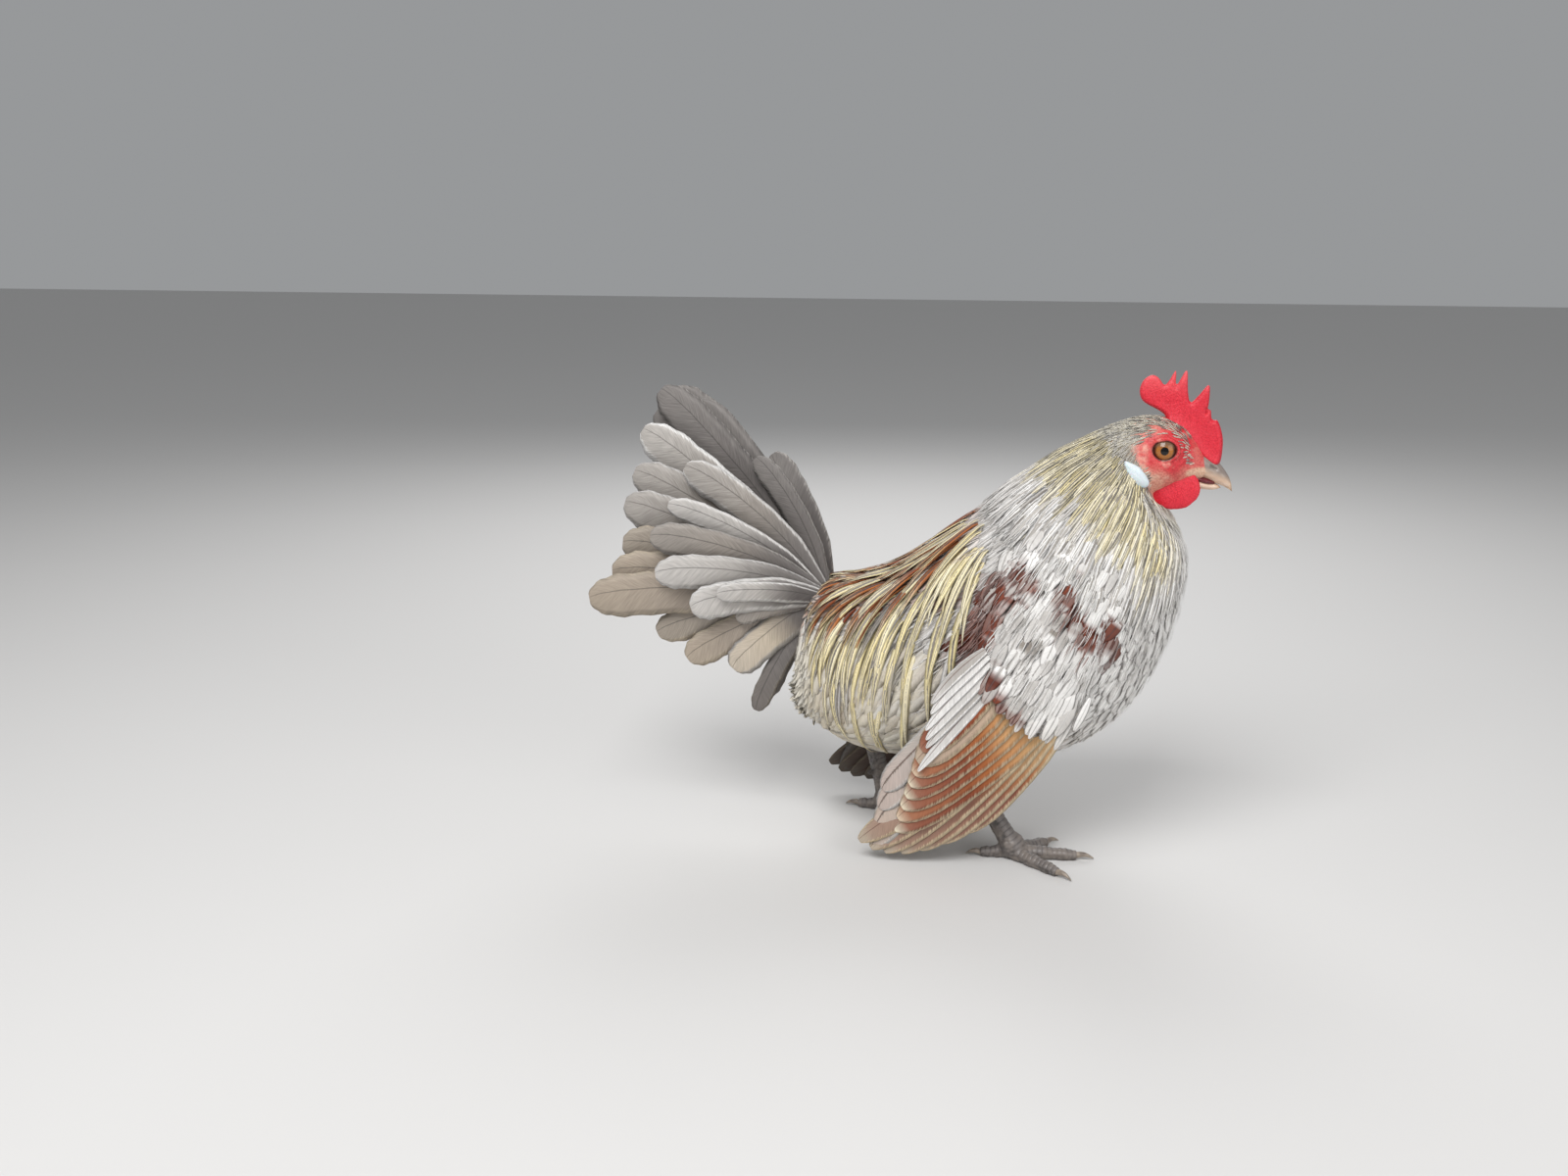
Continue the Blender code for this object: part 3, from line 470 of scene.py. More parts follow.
def closed_grid(name, rings, tip=None, start=None):
    """A closed form over an array of rings, with a point at each end."""
    count, sides = rings.shape[:2]
    points = list(rings.reshape(-1, 3))
    faces = ring_faces(count, sides)
    for point, first in ((start, 0), (tip, (count - 1) * sides)):
        middle = rings.reshape(-1, 3)[first:first + sides].mean(0)
        points.append(middle if point is None else np.array(point))
        faces += [(first + k, first + (k + 1) % sides, len(points) - 1) for k in range(sides)]
    return face_out(mesh_object(name, points, faces))


def tube(name, path, radii, sides):
    """A round form along path points with a radius at each."""
    path = np.asarray(path, float)
    ahead = unit(np.gradient(path, axis=0))
    across = np.cross(ahead, (0, 1, 0))
    weak = np.linalg.norm(across, axis=1) < 0.2
    across[weak] = (1, 0, 0)
    across = unit(across)
    other = np.cross(ahead, across)
    turns = np.arange(sides) * 2 * math.pi / sides
    around = across[:, None] * np.cos(turns)[None, :, None] + other[:, None] * np.sin(turns)[None, :, None]
    return closed_grid(name, path[:, None] + around * np.asarray(radii, float)[:, None, None])


def ball(name, centre, size, turn=Matrix.Identity(3), rings=24, sides=36):
    """An ellipsoid of those half sizes, turned about its centre, with its poles along its own z."""
    tilts = (np.pi * np.arange(1, rings) / rings - np.pi / 2)[:, None]
    turns = 2 * np.pi * np.arange(sides) / sides
    level, up = np.cos(tilts), np.sin(tilts) + 0 * turns
    unit_rings = np.stack([level * np.cos(turns), level * np.sin(turns), up], 2)
    turn = np.array(turn)
    ends = [np.array((0, 0, sign * size[2])) @ turn.T + np.array(centre) for sign in (1, -1)]
    return closed_grid(name, (unit_rings * np.array(size)) @ turn.T + np.array(centre), *ends)


def feed(tree, socket, value):
    """Links an output, or a node's first output, to a socket, or sets a plain value on it."""
    if isinstance(value, bpy.types.Node):
        value = value.outputs[0]
    if isinstance(value, bpy.types.NodeSocket):
        tree.links.new(value, socket)
    elif socket.type == "RGBA":
        socket.default_value = (*value, 1)
    elif value is not None:
        socket.default_value = value


def pebbles(points, cell):
    """Height of rounded grains at each point, from 0 in the grooves to about 1 on top."""
    heights = []
    for point in points:
        distances, _ = noise.voronoi(Vector(point) / cell)
        heights.append(min(1, (distances[1] - distances[0]) * 2))
    return np.array(heights)


def drift(points, scale, seed=0.0):
    """Smooth noise from -1 to 1 at each point."""
    shift = Vector((seed, seed * 1.7, seed * 2.3))
    return np.array([noise.noise(Vector(point) / scale + shift) for point in points])


# Materials.


def add(tree, kind, inputs=None, **settings):
    """A node with its settings, and with its inputs linked or set."""
    node = tree.nodes.new(kind)
    for name, value in settings.items():
        setattr(node, name, value)
    for name, value in (inputs or {}).items():
        feed(tree, node.inputs[name], value)
    return node


def maths(tree, operation, first, second=None):
    """A Math node's result, over sockets or plain numbers."""
    return add(tree, "ShaderNodeMath", {0: first, 1: second}, operation=operation).outputs[0]


def plus(tree, first, second):
    return maths(tree, "ADD", first, second)


def minus(tree, first, second):
    return maths(tree, "SUBTRACT", first, second)


def times(tree, first, second):
    return maths(tree, "MULTIPLY", first, second)


def ramp(tree, value, low, high):
    """A smooth step from 0 at low to 1 at high."""
    bounds = {"Value": value, "From Min": low, "From Max": high}
    return add(tree, "ShaderNodeMapRange", bounds, interpolation_type="SMOOTHSTEP").outputs["Result"]


def overlay(tree, share, under, over, mode="MIX"):
    """One colour over another by a share. A colour is a socket, or the name of a tone or a paint."""
    pair = [PAINTS[colour] if colour in PAINTS else tone(colour) if isinstance(colour, str) else colour
            for colour in (under, over)]
    sockets = {"Factor": share, 6: pair[0], 7: pair[1]}
    return add(tree, "ShaderNodeMix", sockets, data_type="RGBA", blend_type=mode).outputs[2]


def layered(tree, colour, *layers):
    """A colour with others over it, each as a reading, its ramp's two ends, its full share and its colour."""
    for reading, low, high, share, over in layers:
        colour = overlay(tree, times(tree, ramp(tree, reading, low, high), share), colour, over)
    return colour


def attribute(tree, name, output="Vector"):
    return add(tree, "ShaderNodeAttribute", attribute_name=name).outputs[output]


def grain(tree, vector, scale):
    return add(tree, "ShaderNodeTexNoise", {"Vector": vector, "Scale": scale, "Detail": 3}).outputs["Fac"]


def object_place(tree):
    return add(tree, "ShaderNodeTexCoord").outputs["Object"]


def new_material(name, **settings):
    """A material and its node tree, with plain settings of its shader."""
    material = bpy.data.materials.new(name)
    material.use_nodes = True
    for label, value in settings.items():
        material.node_tree.nodes["Principled BSDF"].inputs[label.replace("_", " ")].default_value = value
    return material, material.node_tree


def painted(material, colour, height=None, strength=0.0, depth=0.0):
    """The material with a colour, and with a relief of that strength and depth in millimetres."""
    tree = material.node_tree
    shader = tree.nodes["Principled BSDF"]
    feed(tree, shader.inputs["Base Color"], colour)
    if height is not None:
        relief = {"Strength": strength, "Distance": depth * MM, "Height": height}
        feed(tree, shader.inputs["Normal"], add(tree, "ShaderNodeBump", relief))
    return material


def new_group(name, kind, inputs, outputs):
    """A node group over sockets of a label, kind and value: its tree, what it takes and what it makes."""
    tree = bpy.data.node_groups.new(name, kind + "NodeTree")
    for direction, sockets in (("OUTPUT", outputs), ("INPUT", inputs)):
        for label, sort, value in sockets:
            socket = tree.interface.new_socket(label, in_out=direction, socket_type="NodeSocket" + sort)
            if value is not None:
                socket.default_value = value
    return tree, add(tree, "NodeGroupInput").outputs, add(tree, "NodeGroupOutput").inputs


def floats(*labels, **values):
    """Sockets for numbers, some with a value."""
    plain = dict.fromkeys(labels)
    return [(label, "Float", value) for label, value in (plain | values).items()]


BARB_SLANT = 1.1
BARBS_A_MM = 1.7
BARB_STRETCH = 0.25
LOTS_APART = 97
RAGGEDNESS = 0.3
STRIPE_CORE = 0.55
LEAST_STRIPE = 0.01
EDGE_START = 1.02
EDGE_SOFTNESS = 0.18
TIP_RAMP = (0.45, 0.95)
SHAFT_RAMP = (0.12, 0.3)


def vane_effect():
    """Where a vane's shaft, centre stripe, edge and tip lie, and the run of its barbs."""
    tree, take, made = new_group(
        "vane_markings", "Shader", floats("Across", "Along", "Lot", Width=2, Length=20, Stripe=0.4, Edge=0.2),
        floats("Stripe", "Edge", "Tip", "Shaft", "Barbs"))
    aside = maths(tree, "ABSOLUTE", take["Across"])
    aside_mm = times(tree, aside, take["Width"])
    run = minus(tree, times(tree, take["Along"], take["Length"]), times(tree, aside_mm, BARB_SLANT))
    barbs = grain(tree, add(tree, "ShaderNodeCombineXYZ", {
        0: times(tree, run, BARBS_A_MM), 1: times(tree, aside_mm, BARB_STRETCH),
        2: times(tree, take["Lot"], LOTS_APART)}), 1.0)
    rough = times(tree, minus(tree, barbs, 0.5), RAGGEDNESS)
    ragged = plus(tree, aside, rough)
    stripe = minus(tree, 1, ramp(tree, ragged, times(tree, take["Stripe"], STRIPE_CORE), take["Stripe"]))
    edge_start = minus(tree, EDGE_START, take["Edge"])
    results = {
        "Stripe": times(tree, stripe, maths(tree, "GREATER_THAN", take["Stripe"], LEAST_STRIPE)),
        "Edge": ramp(tree, ragged, edge_start, plus(tree, edge_start, EDGE_SOFTNESS)),
        "Tip": ramp(tree, plus(tree, take["Along"], rough), *TIP_RAMP),
        "Shaft": minus(tree, 1, ramp(tree, aside_mm, *SHAFT_RAMP)),
        "Barbs": barbs,
    }
    for label, value in results.items():
        feed(tree, made[label], value)
    return tree


def feather_material(name, effect, barb_contrast, shaft_tone, shaft_share, relief):
    """A vane's finish from the colours and pattern that each feather carries."""
    material, tree = new_material(name, Roughness=0.72)
    stripe, edge, tip = add(tree, "ShaderNodeSeparateXYZ", {0: attribute(tree, "pattern")}).outputs
    width, length, _ = add(tree, "ShaderNodeSeparateXYZ", {0: attribute(tree, "reach")}).outputs
    taken = {"Width": width, "Length": length, "Stripe": stripe, "Edge": edge}
    for label in ("Across", "Along", "Lot"):
        taken[label] = attribute(tree, label.lower(), "Fac")
    marks = add(tree, "ShaderNodeGroup", taken, node_tree=effect).outputs
    colour = attribute(tree, "pigment", "Color")
    for share, over in (
        (times(tree, marks["Tip"], tip), "tipping"), (marks["Edge"], "edging"), (marks["Stripe"], "marking"),
    ):
        colour = overlay(tree, share, colour, attribute(tree, over, "Color"))
    colour = overlay(tree, times(tree, marks["Shaft"], shaft_share), colour, shaft_tone)
    light = plus(tree, times(tree, marks["Barbs"], 2 * barb_contrast), 1 - barb_contrast)
    lit = add(tree, "ShaderNodeHueSaturation", {"Value": light, "Color": colour})
    return painted(material, lit, marks["Barbs"], relief, 0.25)


def pebble_effect():
    """Rounded grains of bare skin: their height and a slow change of tone between them."""
    tree, take, made = new_group(
        "skin_grain", "Shader", [("Place", "Vector", None), ("Grains a Metre", "Float", 1200)],
        floats("Height", "Drift"))
    cells = add(tree, "ShaderNodeTexVoronoi", {
        "Vector": take["Place"], "Scale": take["Grains a Metre"], "Smoothness": 0.35}, feature="SMOOTH_F1")
    feed(tree, made["Height"], minus(tree, 1, cells.outputs["Distance"]))
    feed(tree, made["Drift"], grain(tree, take["Place"], 180))
    return tree


# Finishes of the bare parts: grains a metre, the colour in the grooves, the layers over it, the relief's
# strength and depth, and the shader's settings. A layer is a reading of the grains or a stored value, its
# ramp's two ends, its full share and its colour.
BARE_PARTS = {
    "comb_red": (
        2000, "comb_groove",
        # Paler pink towards the top of the comb: partly the points' own paler colour, partly a painted
        # highlight where light falls from above.
        (("Height", 0.2, 0.85, 1, "comb_red"), ("rise", 0.55, 1.0, 0.45, "comb_tip_and_highlight"),
         ("Drift", 0.4, 0.7, 0.35, "comb_shade")),
        (0.35, 0.25), {"Roughness": 0.5, "Subsurface_Weight": 0.1, "Subsurface_Scale": 0.002}),
    "earlobe_white": (
        1800, "lobe_groove",
        (("Height", 0.25, 0.8, 1, "lobe_white"), ("Drift", 0.35, 0.7, 1, "lobe_groove")),
        (0.2, 0.3), {"Roughness": 0.5, "Subsurface_Weight": 0.15, "Subsurface_Scale": 0.002}),
    "leg_slate": (
        900, "leg_groove", (("raise", -0.1, 0.6, 1, "leg_slate"), ("Drift", 0.4, 0.65, 0.5, "leg_dust")),
        (0.25, 0.15), {"Roughness": 0.48, "Coat_Weight": 0.1}),
    "mouth_red": (
        1500, "mouth_groove",
        (("Height", 0.25, 0.8, 1, "mouth_red"), ("Drift", 0.35, 0.7, 1, "mouth_groove")),
        (0.2, 0.3), {"Roughness": 0.35}),
}


def grain_readings(tree, effect, grains):
    """The grain group's outputs, at so many grains a metre."""
    sockets = {"Place": object_place(tree), "Grains a Metre": grains}
    return add(tree, "ShaderNodeGroup", sockets, node_tree=effect).outputs


def bare_material(name, effect):
    """Comb, lobe, mouth or leg skin: grains with darker grooves, and a slow drift of tone."""
    grains, groove, layers, relief, settings = BARE_PARTS[name]
    material, tree = new_material(name, **settings)
    readings = grain_readings(tree, effect, grains)
    layers = [(readings[reading] if reading in readings else attribute(tree, reading, "Fac"), *rest)
              for reading, *rest in layers]
    return painted(material, layered(tree, groove, *layers), readings["Height"], *relief)


# Geometry Nodes.


def read(tree, name, kind="FLOAT"):
    return add(tree, "GeometryNodeInputNamedAttribute", {"Name": name}, data_type=kind).outputs["Attribute"]


GEOMETRY = ("Geometry", "Geometry", None)


def finished(tree, shape, take, made):
    """Stores the bake map, each feather as a small patch at its root's place on the skin's unwrap, then makes
    real what stands as instances and sets the material."""
    flat = add(tree, "ShaderNodeCombineXYZ", {0: read(tree, "across"), 1: read(tree, "along")})
    scaled = add(tree, "ShaderNodeVectorMath", {0: flat, "Scale": PATCH}, operation="SCALE")
    root = read(tree, "skin_uv", "FLOAT_VECTOR")
    moved = add(tree, "ShaderNodeVectorMath", {0: scaled, 1: root}, operation="ADD")
    mapped = add(tree, "GeometryNodeStoreNamedAttribute", {
        "Name": "OFBake", "Geometry": shape, "Value": moved}, data_type="FLOAT2", domain="CORNER")
    whole = add(tree, "GeometryNodeRealizeInstances", {0: mapped})
    feed(tree, made[0], add(tree, "GeometryNodeSetMaterial", {"Geometry": whole, "Material": take["Finish"]}))
    return tree


def vane_tree():
    """Turns each guide line into a closed vane of the given section, as wide as the line says."""
    tree, take, made = new_group("vanes_on_shafts", "Geometry", (
        GEOMETRY, ("Section", "Object", None), ("Finish", "Material", None)), (GEOMETRY,))
    lines = add(tree, "GeometryNodeMeshToCurve", {"Mesh": take["Geometry"]})
    out = read(tree, "out", "FLOAT_VECTOR")
    turned = add(tree, "GeometryNodeSetCurveNormal", {"Curve": lines, "Normal": out}, mode="FREE")
    source = add(tree, "GeometryNodeObjectInfo", {"Object": take["Section"]})
    section = add(tree, "GeometryNodeMeshToCurve", {"Mesh": source.outputs["Geometry"]})
    shells = add(tree, "GeometryNodeCurveToMesh", {
        "Curve": turned, "Profile Curve": section, "Scale": read(tree, "half_width"), "Fill Caps": True})
    return finished(tree, shells, take, made)


FEATHERS_A_SQUARE_METRE = 3e6
SWAY = ((-0.03, -0.06, -0.17), (0.05, 0.06, 0.17))
GROWTH = (0.8, 1.15)


def coat_tree():
    """Sets small feathers over a skin, along its lie, each as long as the skin says there."""
    tree, take, made = new_group("feathers_on_skin", "Geometry", (
        GEOMETRY, ("Feather", "Object", None), ("Spacing", "Float", 0.003), ("Cover", "String", "cover"),
        ("Rise", "Float", 0.15), ("Seed", "Int", 1), ("Finish", "Material", None)), (GEOMETRY,))
    spread = add(tree, "GeometryNodeDistributePointsOnFaces", {
        "Mesh": take["Geometry"], "Distance Min": take["Spacing"], "Density Max": FEATHERS_A_SQUARE_METRE,
        "Density Factor": read(tree, take["Cover"]), "Seed": take["Seed"]}, distribute_method="POISSON")
    chance = add(tree, "FunctionNodeRandomValue", {"Seed": take["Seed"]}, data_type="FLOAT")
    numbered = add(tree, "GeometryNodeStoreNamedAttribute", {
        "Name": "lot", "Geometry": spread.outputs["Points"], "Value": chance.outputs[1]},
        data_type="FLOAT", domain="POINT")
    aim = add(tree, "FunctionNodeAxesToRotation", {
        "Primary Axis": spread.outputs["Normal"], "Secondary Axis": read(tree, "lie", "FLOAT_VECTOR")},
        primary_axis="Z", secondary_axis="Y")
    sway = add(tree, "FunctionNodeRandomValue", {0: SWAY[0], 1: SWAY[1]}, data_type="FLOAT_VECTOR")
    lifted = add(tree, "ShaderNodeCombineXYZ", {0: take["Rise"]})
    total = add(tree, "ShaderNodeVectorMath", {0: sway, 1: lifted}, operation="ADD")
    euler = add(tree, "FunctionNodeEulerToRotation", {0: total})
    tilted = add(tree, "FunctionNodeRotateRotation", {"Rotation": aim, "Rotate By": euler},
                 rotation_space="LOCAL")
    grown = add(tree, "FunctionNodeRandomValue", {2: GROWTH[0], 3: GROWTH[1]}, data_type="FLOAT")
    source = add(tree, "GeometryNodeObjectInfo", {"Object": take["Feather"]})
    planted = add(tree, "GeometryNodeInstanceOnPoints", {
        "Points": numbered, "Instance": source.outputs["Geometry"], "Rotation": tilted,
        "Scale": times(tree, grown.outputs[1], read(tree, "size"))})
    return finished(tree, add(tree, "GeometryNodeRealizeInstances", {0: planted}), take, made)


def grown_by(tree, name, base, **values):
    """The plain mesh object that a tree makes of a base object."""
    maker = base.modifiers.new(tree.name, "NODES")
    maker.node_group = tree
    for item in tree.interface.items_tree:
        if item.in_out == "INPUT" and item.name in values:
            maker[item.identifier] = values[item.name]
    mesh = evaluated_mesh(base)
    mesh.name = name
    return linked(name, mesh)


# Skin.


def body_point(place, turn, grow=0.0):
    """A point of the body at a place along its sections, turned from the back (left side positive)."""
    return oval_points(curve_rows(BODY_SECTIONS, np.array([place])), np.array([turn]), grow)[0, 0]


def wing_place(side_name, along, across, lift=0.0):
    """Points on the wing's rounded outer face, or that much outside it."""
    shoulder, fall = WING_SHOULDER[side_name], WING_FALL[side_name]
    along, across, lift = np.broadcast_arrays(*(np.asarray(v, float) for v in (along, across, lift)))
    x = shoulder[0] + along * math.cos(fall) - across * math.sin(fall)
    z = shoulder[1] + along * math.sin(fall) + across * math.cos(fall)
    ahead, aside = along - WING_BROADEST_AT[0], across - WING_BROADEST_AT[1]
    drop = ahead ** 2 * np.where(ahead < 0, WING_ROUND_TO_SHOULDER, WING_ROUND_TO_TIP)
    drop = drop + aside ** 2 * WING_ROUND_ACROSS
    return np.stack([x, SIDES[side_name] * (WING_SPAN - drop + lift), z], -1)


def wing_pad_rings(side_name):
    """Rings of the wing's arm under its coverts, its two end points, and the rings' places on the wing."""
    core = np.array(WING_CORE, float)
    places = np.linspace(0, len(core) - 1, WING_PAD_RINGS)
    start, middle, half = (np.interp(places, range(len(core)), core[:, k])[:, None] for k in range(3))
    turns = 2 * np.pi * np.arange(WING_PAD_SIDES) / WING_PAD_SIDES
    along = start + 0 * turns
    across = middle + half * np.cos(turns)
    lift = -WING_CORE_DEPTH + WING_CORE_HALF_DEPTH * np.sin(turns) + 0 * along
    ends = [wing_place(side_name, along_end, row[1], -WING_CORE_DEPTH)
            for along_end, row in zip(WING_CORE_ENDS, core[[0, -1]])]
    return wing_place(side_name, along, across, lift), ends, along, across


def thigh_path(side_name):
    """Points down the middle of a thigh, and the radius at each."""
    top, hock = np.array(THIGH_TOP[side_name], float), np.array(HOCK[side_name], float)
    shares = np.linspace(0, 1, THIGH_RINGS)[:, None]
    return top + (hock - top) * shares, np.interp(shares[:, 0] * 4, range(5), THIGH_RADII)


def eye_distance(points):
    """How far outside the eye opening each point lies, seen from the side: 1 on the lid's margin."""
    return np.hypot((points[:, 0] - EYE_AT[0]) / EYE_OPENING[0], (points[:, 2] - EYE_AT[2]) / EYE_OPENING[1])


# Low swellings and hollows of the bare face, as place seen from the side, radius and how far they stand out.
FACE_FORMS = (
    (106, 181.5, 5, 0.7), (113.5, 178, 4, 0.5), (116, 169.5, 4.5, -0.7), (108, 164.5, 5, 0.6),
    (99.5, 172, 4, -0.5),
)
SOCKET_FLOOR = 10.4
LID_STEPS = 72
LID_SIDES = 12


def sculpt_face(points):
    """Brow, lores, cheek, fine folds round the eye, and the hollow that the eye sits in."""
    made = points.copy()
    x, y, z = points.T
    side, wide = np.sign(y), np.abs(y)
    for form_x, form_z, radius, push in FACE_FORMS:
        near = np.exp(-((x - form_x) ** 2 + (z - form_z) ** 2) / radius ** 2)
        made[:, 1] += side * push * near * smooth(2.5, 7, wide)
    away = eye_distance(points)
    facing = (wide > 5) & (x > 95)
    folds = 0.24 * np.sin((away - 1) * 13) * np.exp(-((away - 1.8) / 0.6) ** 2)
    made[:, 1] += side * folds * facing
    sink = (1 - smooth(0.95, 1.28, away)) * facing
    made[:, 1] += (side * SOCKET_FLOOR - made[:, 1]) * sink
    return made


def lid_ring(side):
    """The swollen rim of the eye opening, lying on the eyeball."""
    turns = 2 * np.pi * np.arange(LID_STEPS) / LID_STEPS
    section = 2 * np.pi * np.arange(LID_SIDES) / LID_SIDES
    inner = 1 / np.hypot(np.cos(turns) / EYE_OPENING[0], np.sin(turns) / EYE_OPENING[1])
    fold = 0.85 + 0.12 * np.sin(turns) + 0.05 * np.sin(3 * turns + 1)
    depth = EYE_AT[1] + np.sqrt(EYE_RADIUS ** 2 - inner ** 2) - 0.2
    reach = (inner + fold)[:, None] + fold[:, None] * np.cos(section)
    x = EYE_AT[0] + reach * np.cos(turns)[:, None]
    z = EYE_AT[2] + reach * np.sin(turns)[:, None]
    y = side * (depth[:, None] + 0.8 * fold[:, None] * np.sin(section))
    rings = np.stack([x, y, z], 2).reshape(-1, 3)
    return face_out(mesh_object("lid", rings, ring_faces(LID_STEPS, LID_SIDES, closed=True)))


def skin_places():
    """Places of the skin's rings: wide apart on the body, close on the head."""
    last = len(BODY_SECTIONS) - 1
    head = np.arange(HEAD_AT, last + 0.01, HEAD_STEP)
    return np.concatenate([np.arange(0, NECK_AT, BODY_STEP), np.arange(NECK_AT, HEAD_AT, NECK_STEP), head])


# Kinds of place on the skin.
BODY = 0
THIGH = 1
ARM = 2


def make_skin():
    """One skin over body, neck, head, thighs and the arms of the wings, with what the coat reads from it."""
    places = skin_places()
    turns = 2 * np.pi * (np.arange(SKIN_SIDES) + 0.5) / SKIN_SIDES
    turns = np.where(turns > np.pi, turns - 2 * np.pi, turns)
    rings = oval_points(curve_rows(BODY_SECTIONS, places), turns)
    inset = COAT * (1 - smooth(HEAD_FEATHERS_FROM, BARE_SKIN_FROM, places))
    rings = rings - unit(rings - rings.mean(1, keepdims=True)) * inset[:, None, None]
    samples = [(rings, np.stack(np.broadcast_arrays(places[:, None], turns[None, :]), 2), BODY)]
    flat = rings.reshape(-1, 3)
    face = flat[:, 0] > 92
    flat[face] = sculpt_face(flat[face])
    skin = closed_grid("skin", flat.reshape(rings.shape), start=VENT_AT)
    parts = []
    for side_name, side in SIDES.items():
        path, radii = thigh_path(side_name)
        parts.append(tube("thigh", path, radii - 0.6, 40))
        thigh = point_array(parts[-1])
        samples.append((thigh, np.zeros((len(thigh), 2)), THIGH))
        pad, ends, along, across = wing_pad_rings(side_name)
        parts.append(closed_grid("pad", pad, *ends[::-1]))
        samples.append((pad, np.stack([along, across], 2), ARM))
        parts.append(lid_ring(side))
    joined(skin, parts)
    return dress_skin(skin, samples)


def nearest_samples(points, samples):
    """For each point, the two numbers and the kind of the nearest sample of the forms it was made from."""
    where = np.concatenate([place.reshape(-1, 3) for place, _, _ in samples])
    numbers = np.concatenate([pair.reshape(-1, 2) for _, pair, _ in samples])
    kinds = np.concatenate([np.full(place.size // 3, kind) for place, _, kind in samples])
    tree = KDTree(len(where))
    for i, point in enumerate(where):
        tree.insert(point, i)
    tree.balance()
    index = np.array([tree.find(point)[1] for point in points])
    return numbers[index], kinds[index]


PLUMAGE_COLOURS = ("pigment", "marking", "edging", "tipping")


def blotch_share(points, blotches, raggedness=0.45, seed=0.0):
    """How far each point lies inside the nearest blotch, seen from the side, with ragged edges."""
    rough = drift(points, 3.5, seed) * raggedness
    share = np.zeros(len(points))
    for x, z, radius in blotches:
        apart = np.hypot(points[:, 0] - x, (points[:, 2] - z) * 0.85) / (1.28 * radius)
        share = np.maximum(share, 1 - smooth(0.7, 1.15, apart + rough))
    return share * (np.abs(points[:, 1]) > 8)


def plumage_of(points, place, turn):
    """Colours and pattern of the small feathers at points of the skin: five rows of numbers for each."""
    x, _, z = points.T
    mottle = 0.5 + 0.5 * drift(points, 5, 3.1)
    broad = 0.5 + 0.5 * drift(points, 17, 8.7)
    low, rear, front = smooth(75, 45, z), smooth(20, -25, x), smooth(60, 85, x)
    pigment = blend("silver", "white", 0.3 + 0.7 * mottle)
    pigment = blend(pigment, "pearl", 0.45 * smooth(0.45, 0.75, broad))
    pigment = blend(pigment, "beige", 0.45 * np.maximum(low, rear))
    laced = blend("pearl", "slate", mottle * (0.5 + 0.5 * front))
    look = {
        "pigment": pigment,
        "marking": blend(blend("silver", "warm_grey", 0.8 * mottle), "white", front),
        "edging": blend(pigment, laced, 0.35 + 0.55 * front),
        "tipping": blend(pigment, "white", 0.5),
    }
    rust = blotch_share(points, RUST_BLOTCHES)
    grey = blotch_share(points, GREY_BLOTCHES, seed=5.0)
    deep = blend("rust", "umber", 0.5 + 0.5 * drift(points, 6, 1.9))
    saddle_top = smooth(44, 30, x) * smooth(1.1, 0.6, np.abs(turn)) * (place < 7)
    head = smooth(10.6, 11.3, place)
    ear = np.exp(-(((x - 95) / 5) ** 2 + ((z - 172) / 6) ** 2)) * head
    crown = head * smooth(176, 181, z)
    fleck = 0.85 * head * (1 - ear) * smooth(0.02, 0.2, drift(points, 1.7, 4.4))
    for names, over, share in (
        ("pigment", "warm_grey", grey), ("marking", "slate", grey),
        ("pigment edging tipping", deep, rust), ("marking", "umber", rust),
        ("pigment", "orange", 0.7 * saddle_top), ("marking", "charcoal", 0.7 * saddle_top),
        ("pigment", "cream", head * 0.8), ("edging", "cream", head),
        ("pigment", "dun", 0.8 * ear), ("edging", "dun", 0.7 * ear),
        ("marking", "charcoal", np.maximum(crown, head * 0.7)),
        ("pigment", "charcoal", fleck), ("edging", "slate", fleck),
    ):
        for name in names.split():
            look[name] = blend(look[name], over, share)
    stripe = 0.25 + 0.25 * mottle
    pattern = np.stack([mix(stripe, 0.35, head), 0.22 + 0.15 * front + 0.1 * head, 0.6 + 0 * stripe], 1)
    return *look.values(), pattern


def store_plumage(mesh, colours):
    """Stores a row of colours and the pattern on each point."""
    for name, values in zip(PLUMAGE_COLOURS, colours):
        store_colour(mesh, name, values)
    store(mesh, "pattern", colours[-1])


def skin_lie(place, turn):
    """The way that feathers lie on the body: back along it, and down on its sides."""
    runs = []
    for edge in (np.zeros(1), np.array([np.pi])):
        back, here = (oval_points(curve_rows(BODY_SECTIONS, near), edge)[:, 0]
                      for near in (np.maximum(place - 0.15, 0), place))
        runs.append(unit(back - here))
    lower = ((1 - np.cos(turn)) / 2)[:, None]
    return unit(mix(*runs, lower) + [0, 0, -0.35] * np.sin(lower * np.pi))


def head_cover(points, on_head):
    """How close the head's feathers stand: none on the bare face, few round the eye, and full elsewhere."""
    x, y, z = points.T
    wide, away = np.abs(y), eye_distance(points)
    bristled = (wide > 2.8) & (outline_distance(points[:, [0, 2]], np.array(BRISTLE_LINE)) < 1.3)
    bare = (x > 97) & (away < 2.3 - 0.5 * smooth(172, 178, z)) & (wide > 4)
    for part in (
        (x > 110) & (z < 175), (x > 103) & (z < 167), on_head & (wide < 2.6) & (x > 107), x > 118,
        np.hypot(x - 96.5, z - 174) < 1.8,
    ):
        bare |= part
    sparse = (x > 97) & (away < 2.6) & ~bristled
    return np.where(on_head & (~bare | bristled), np.where(sparse, 0.35, 1.0), 0)


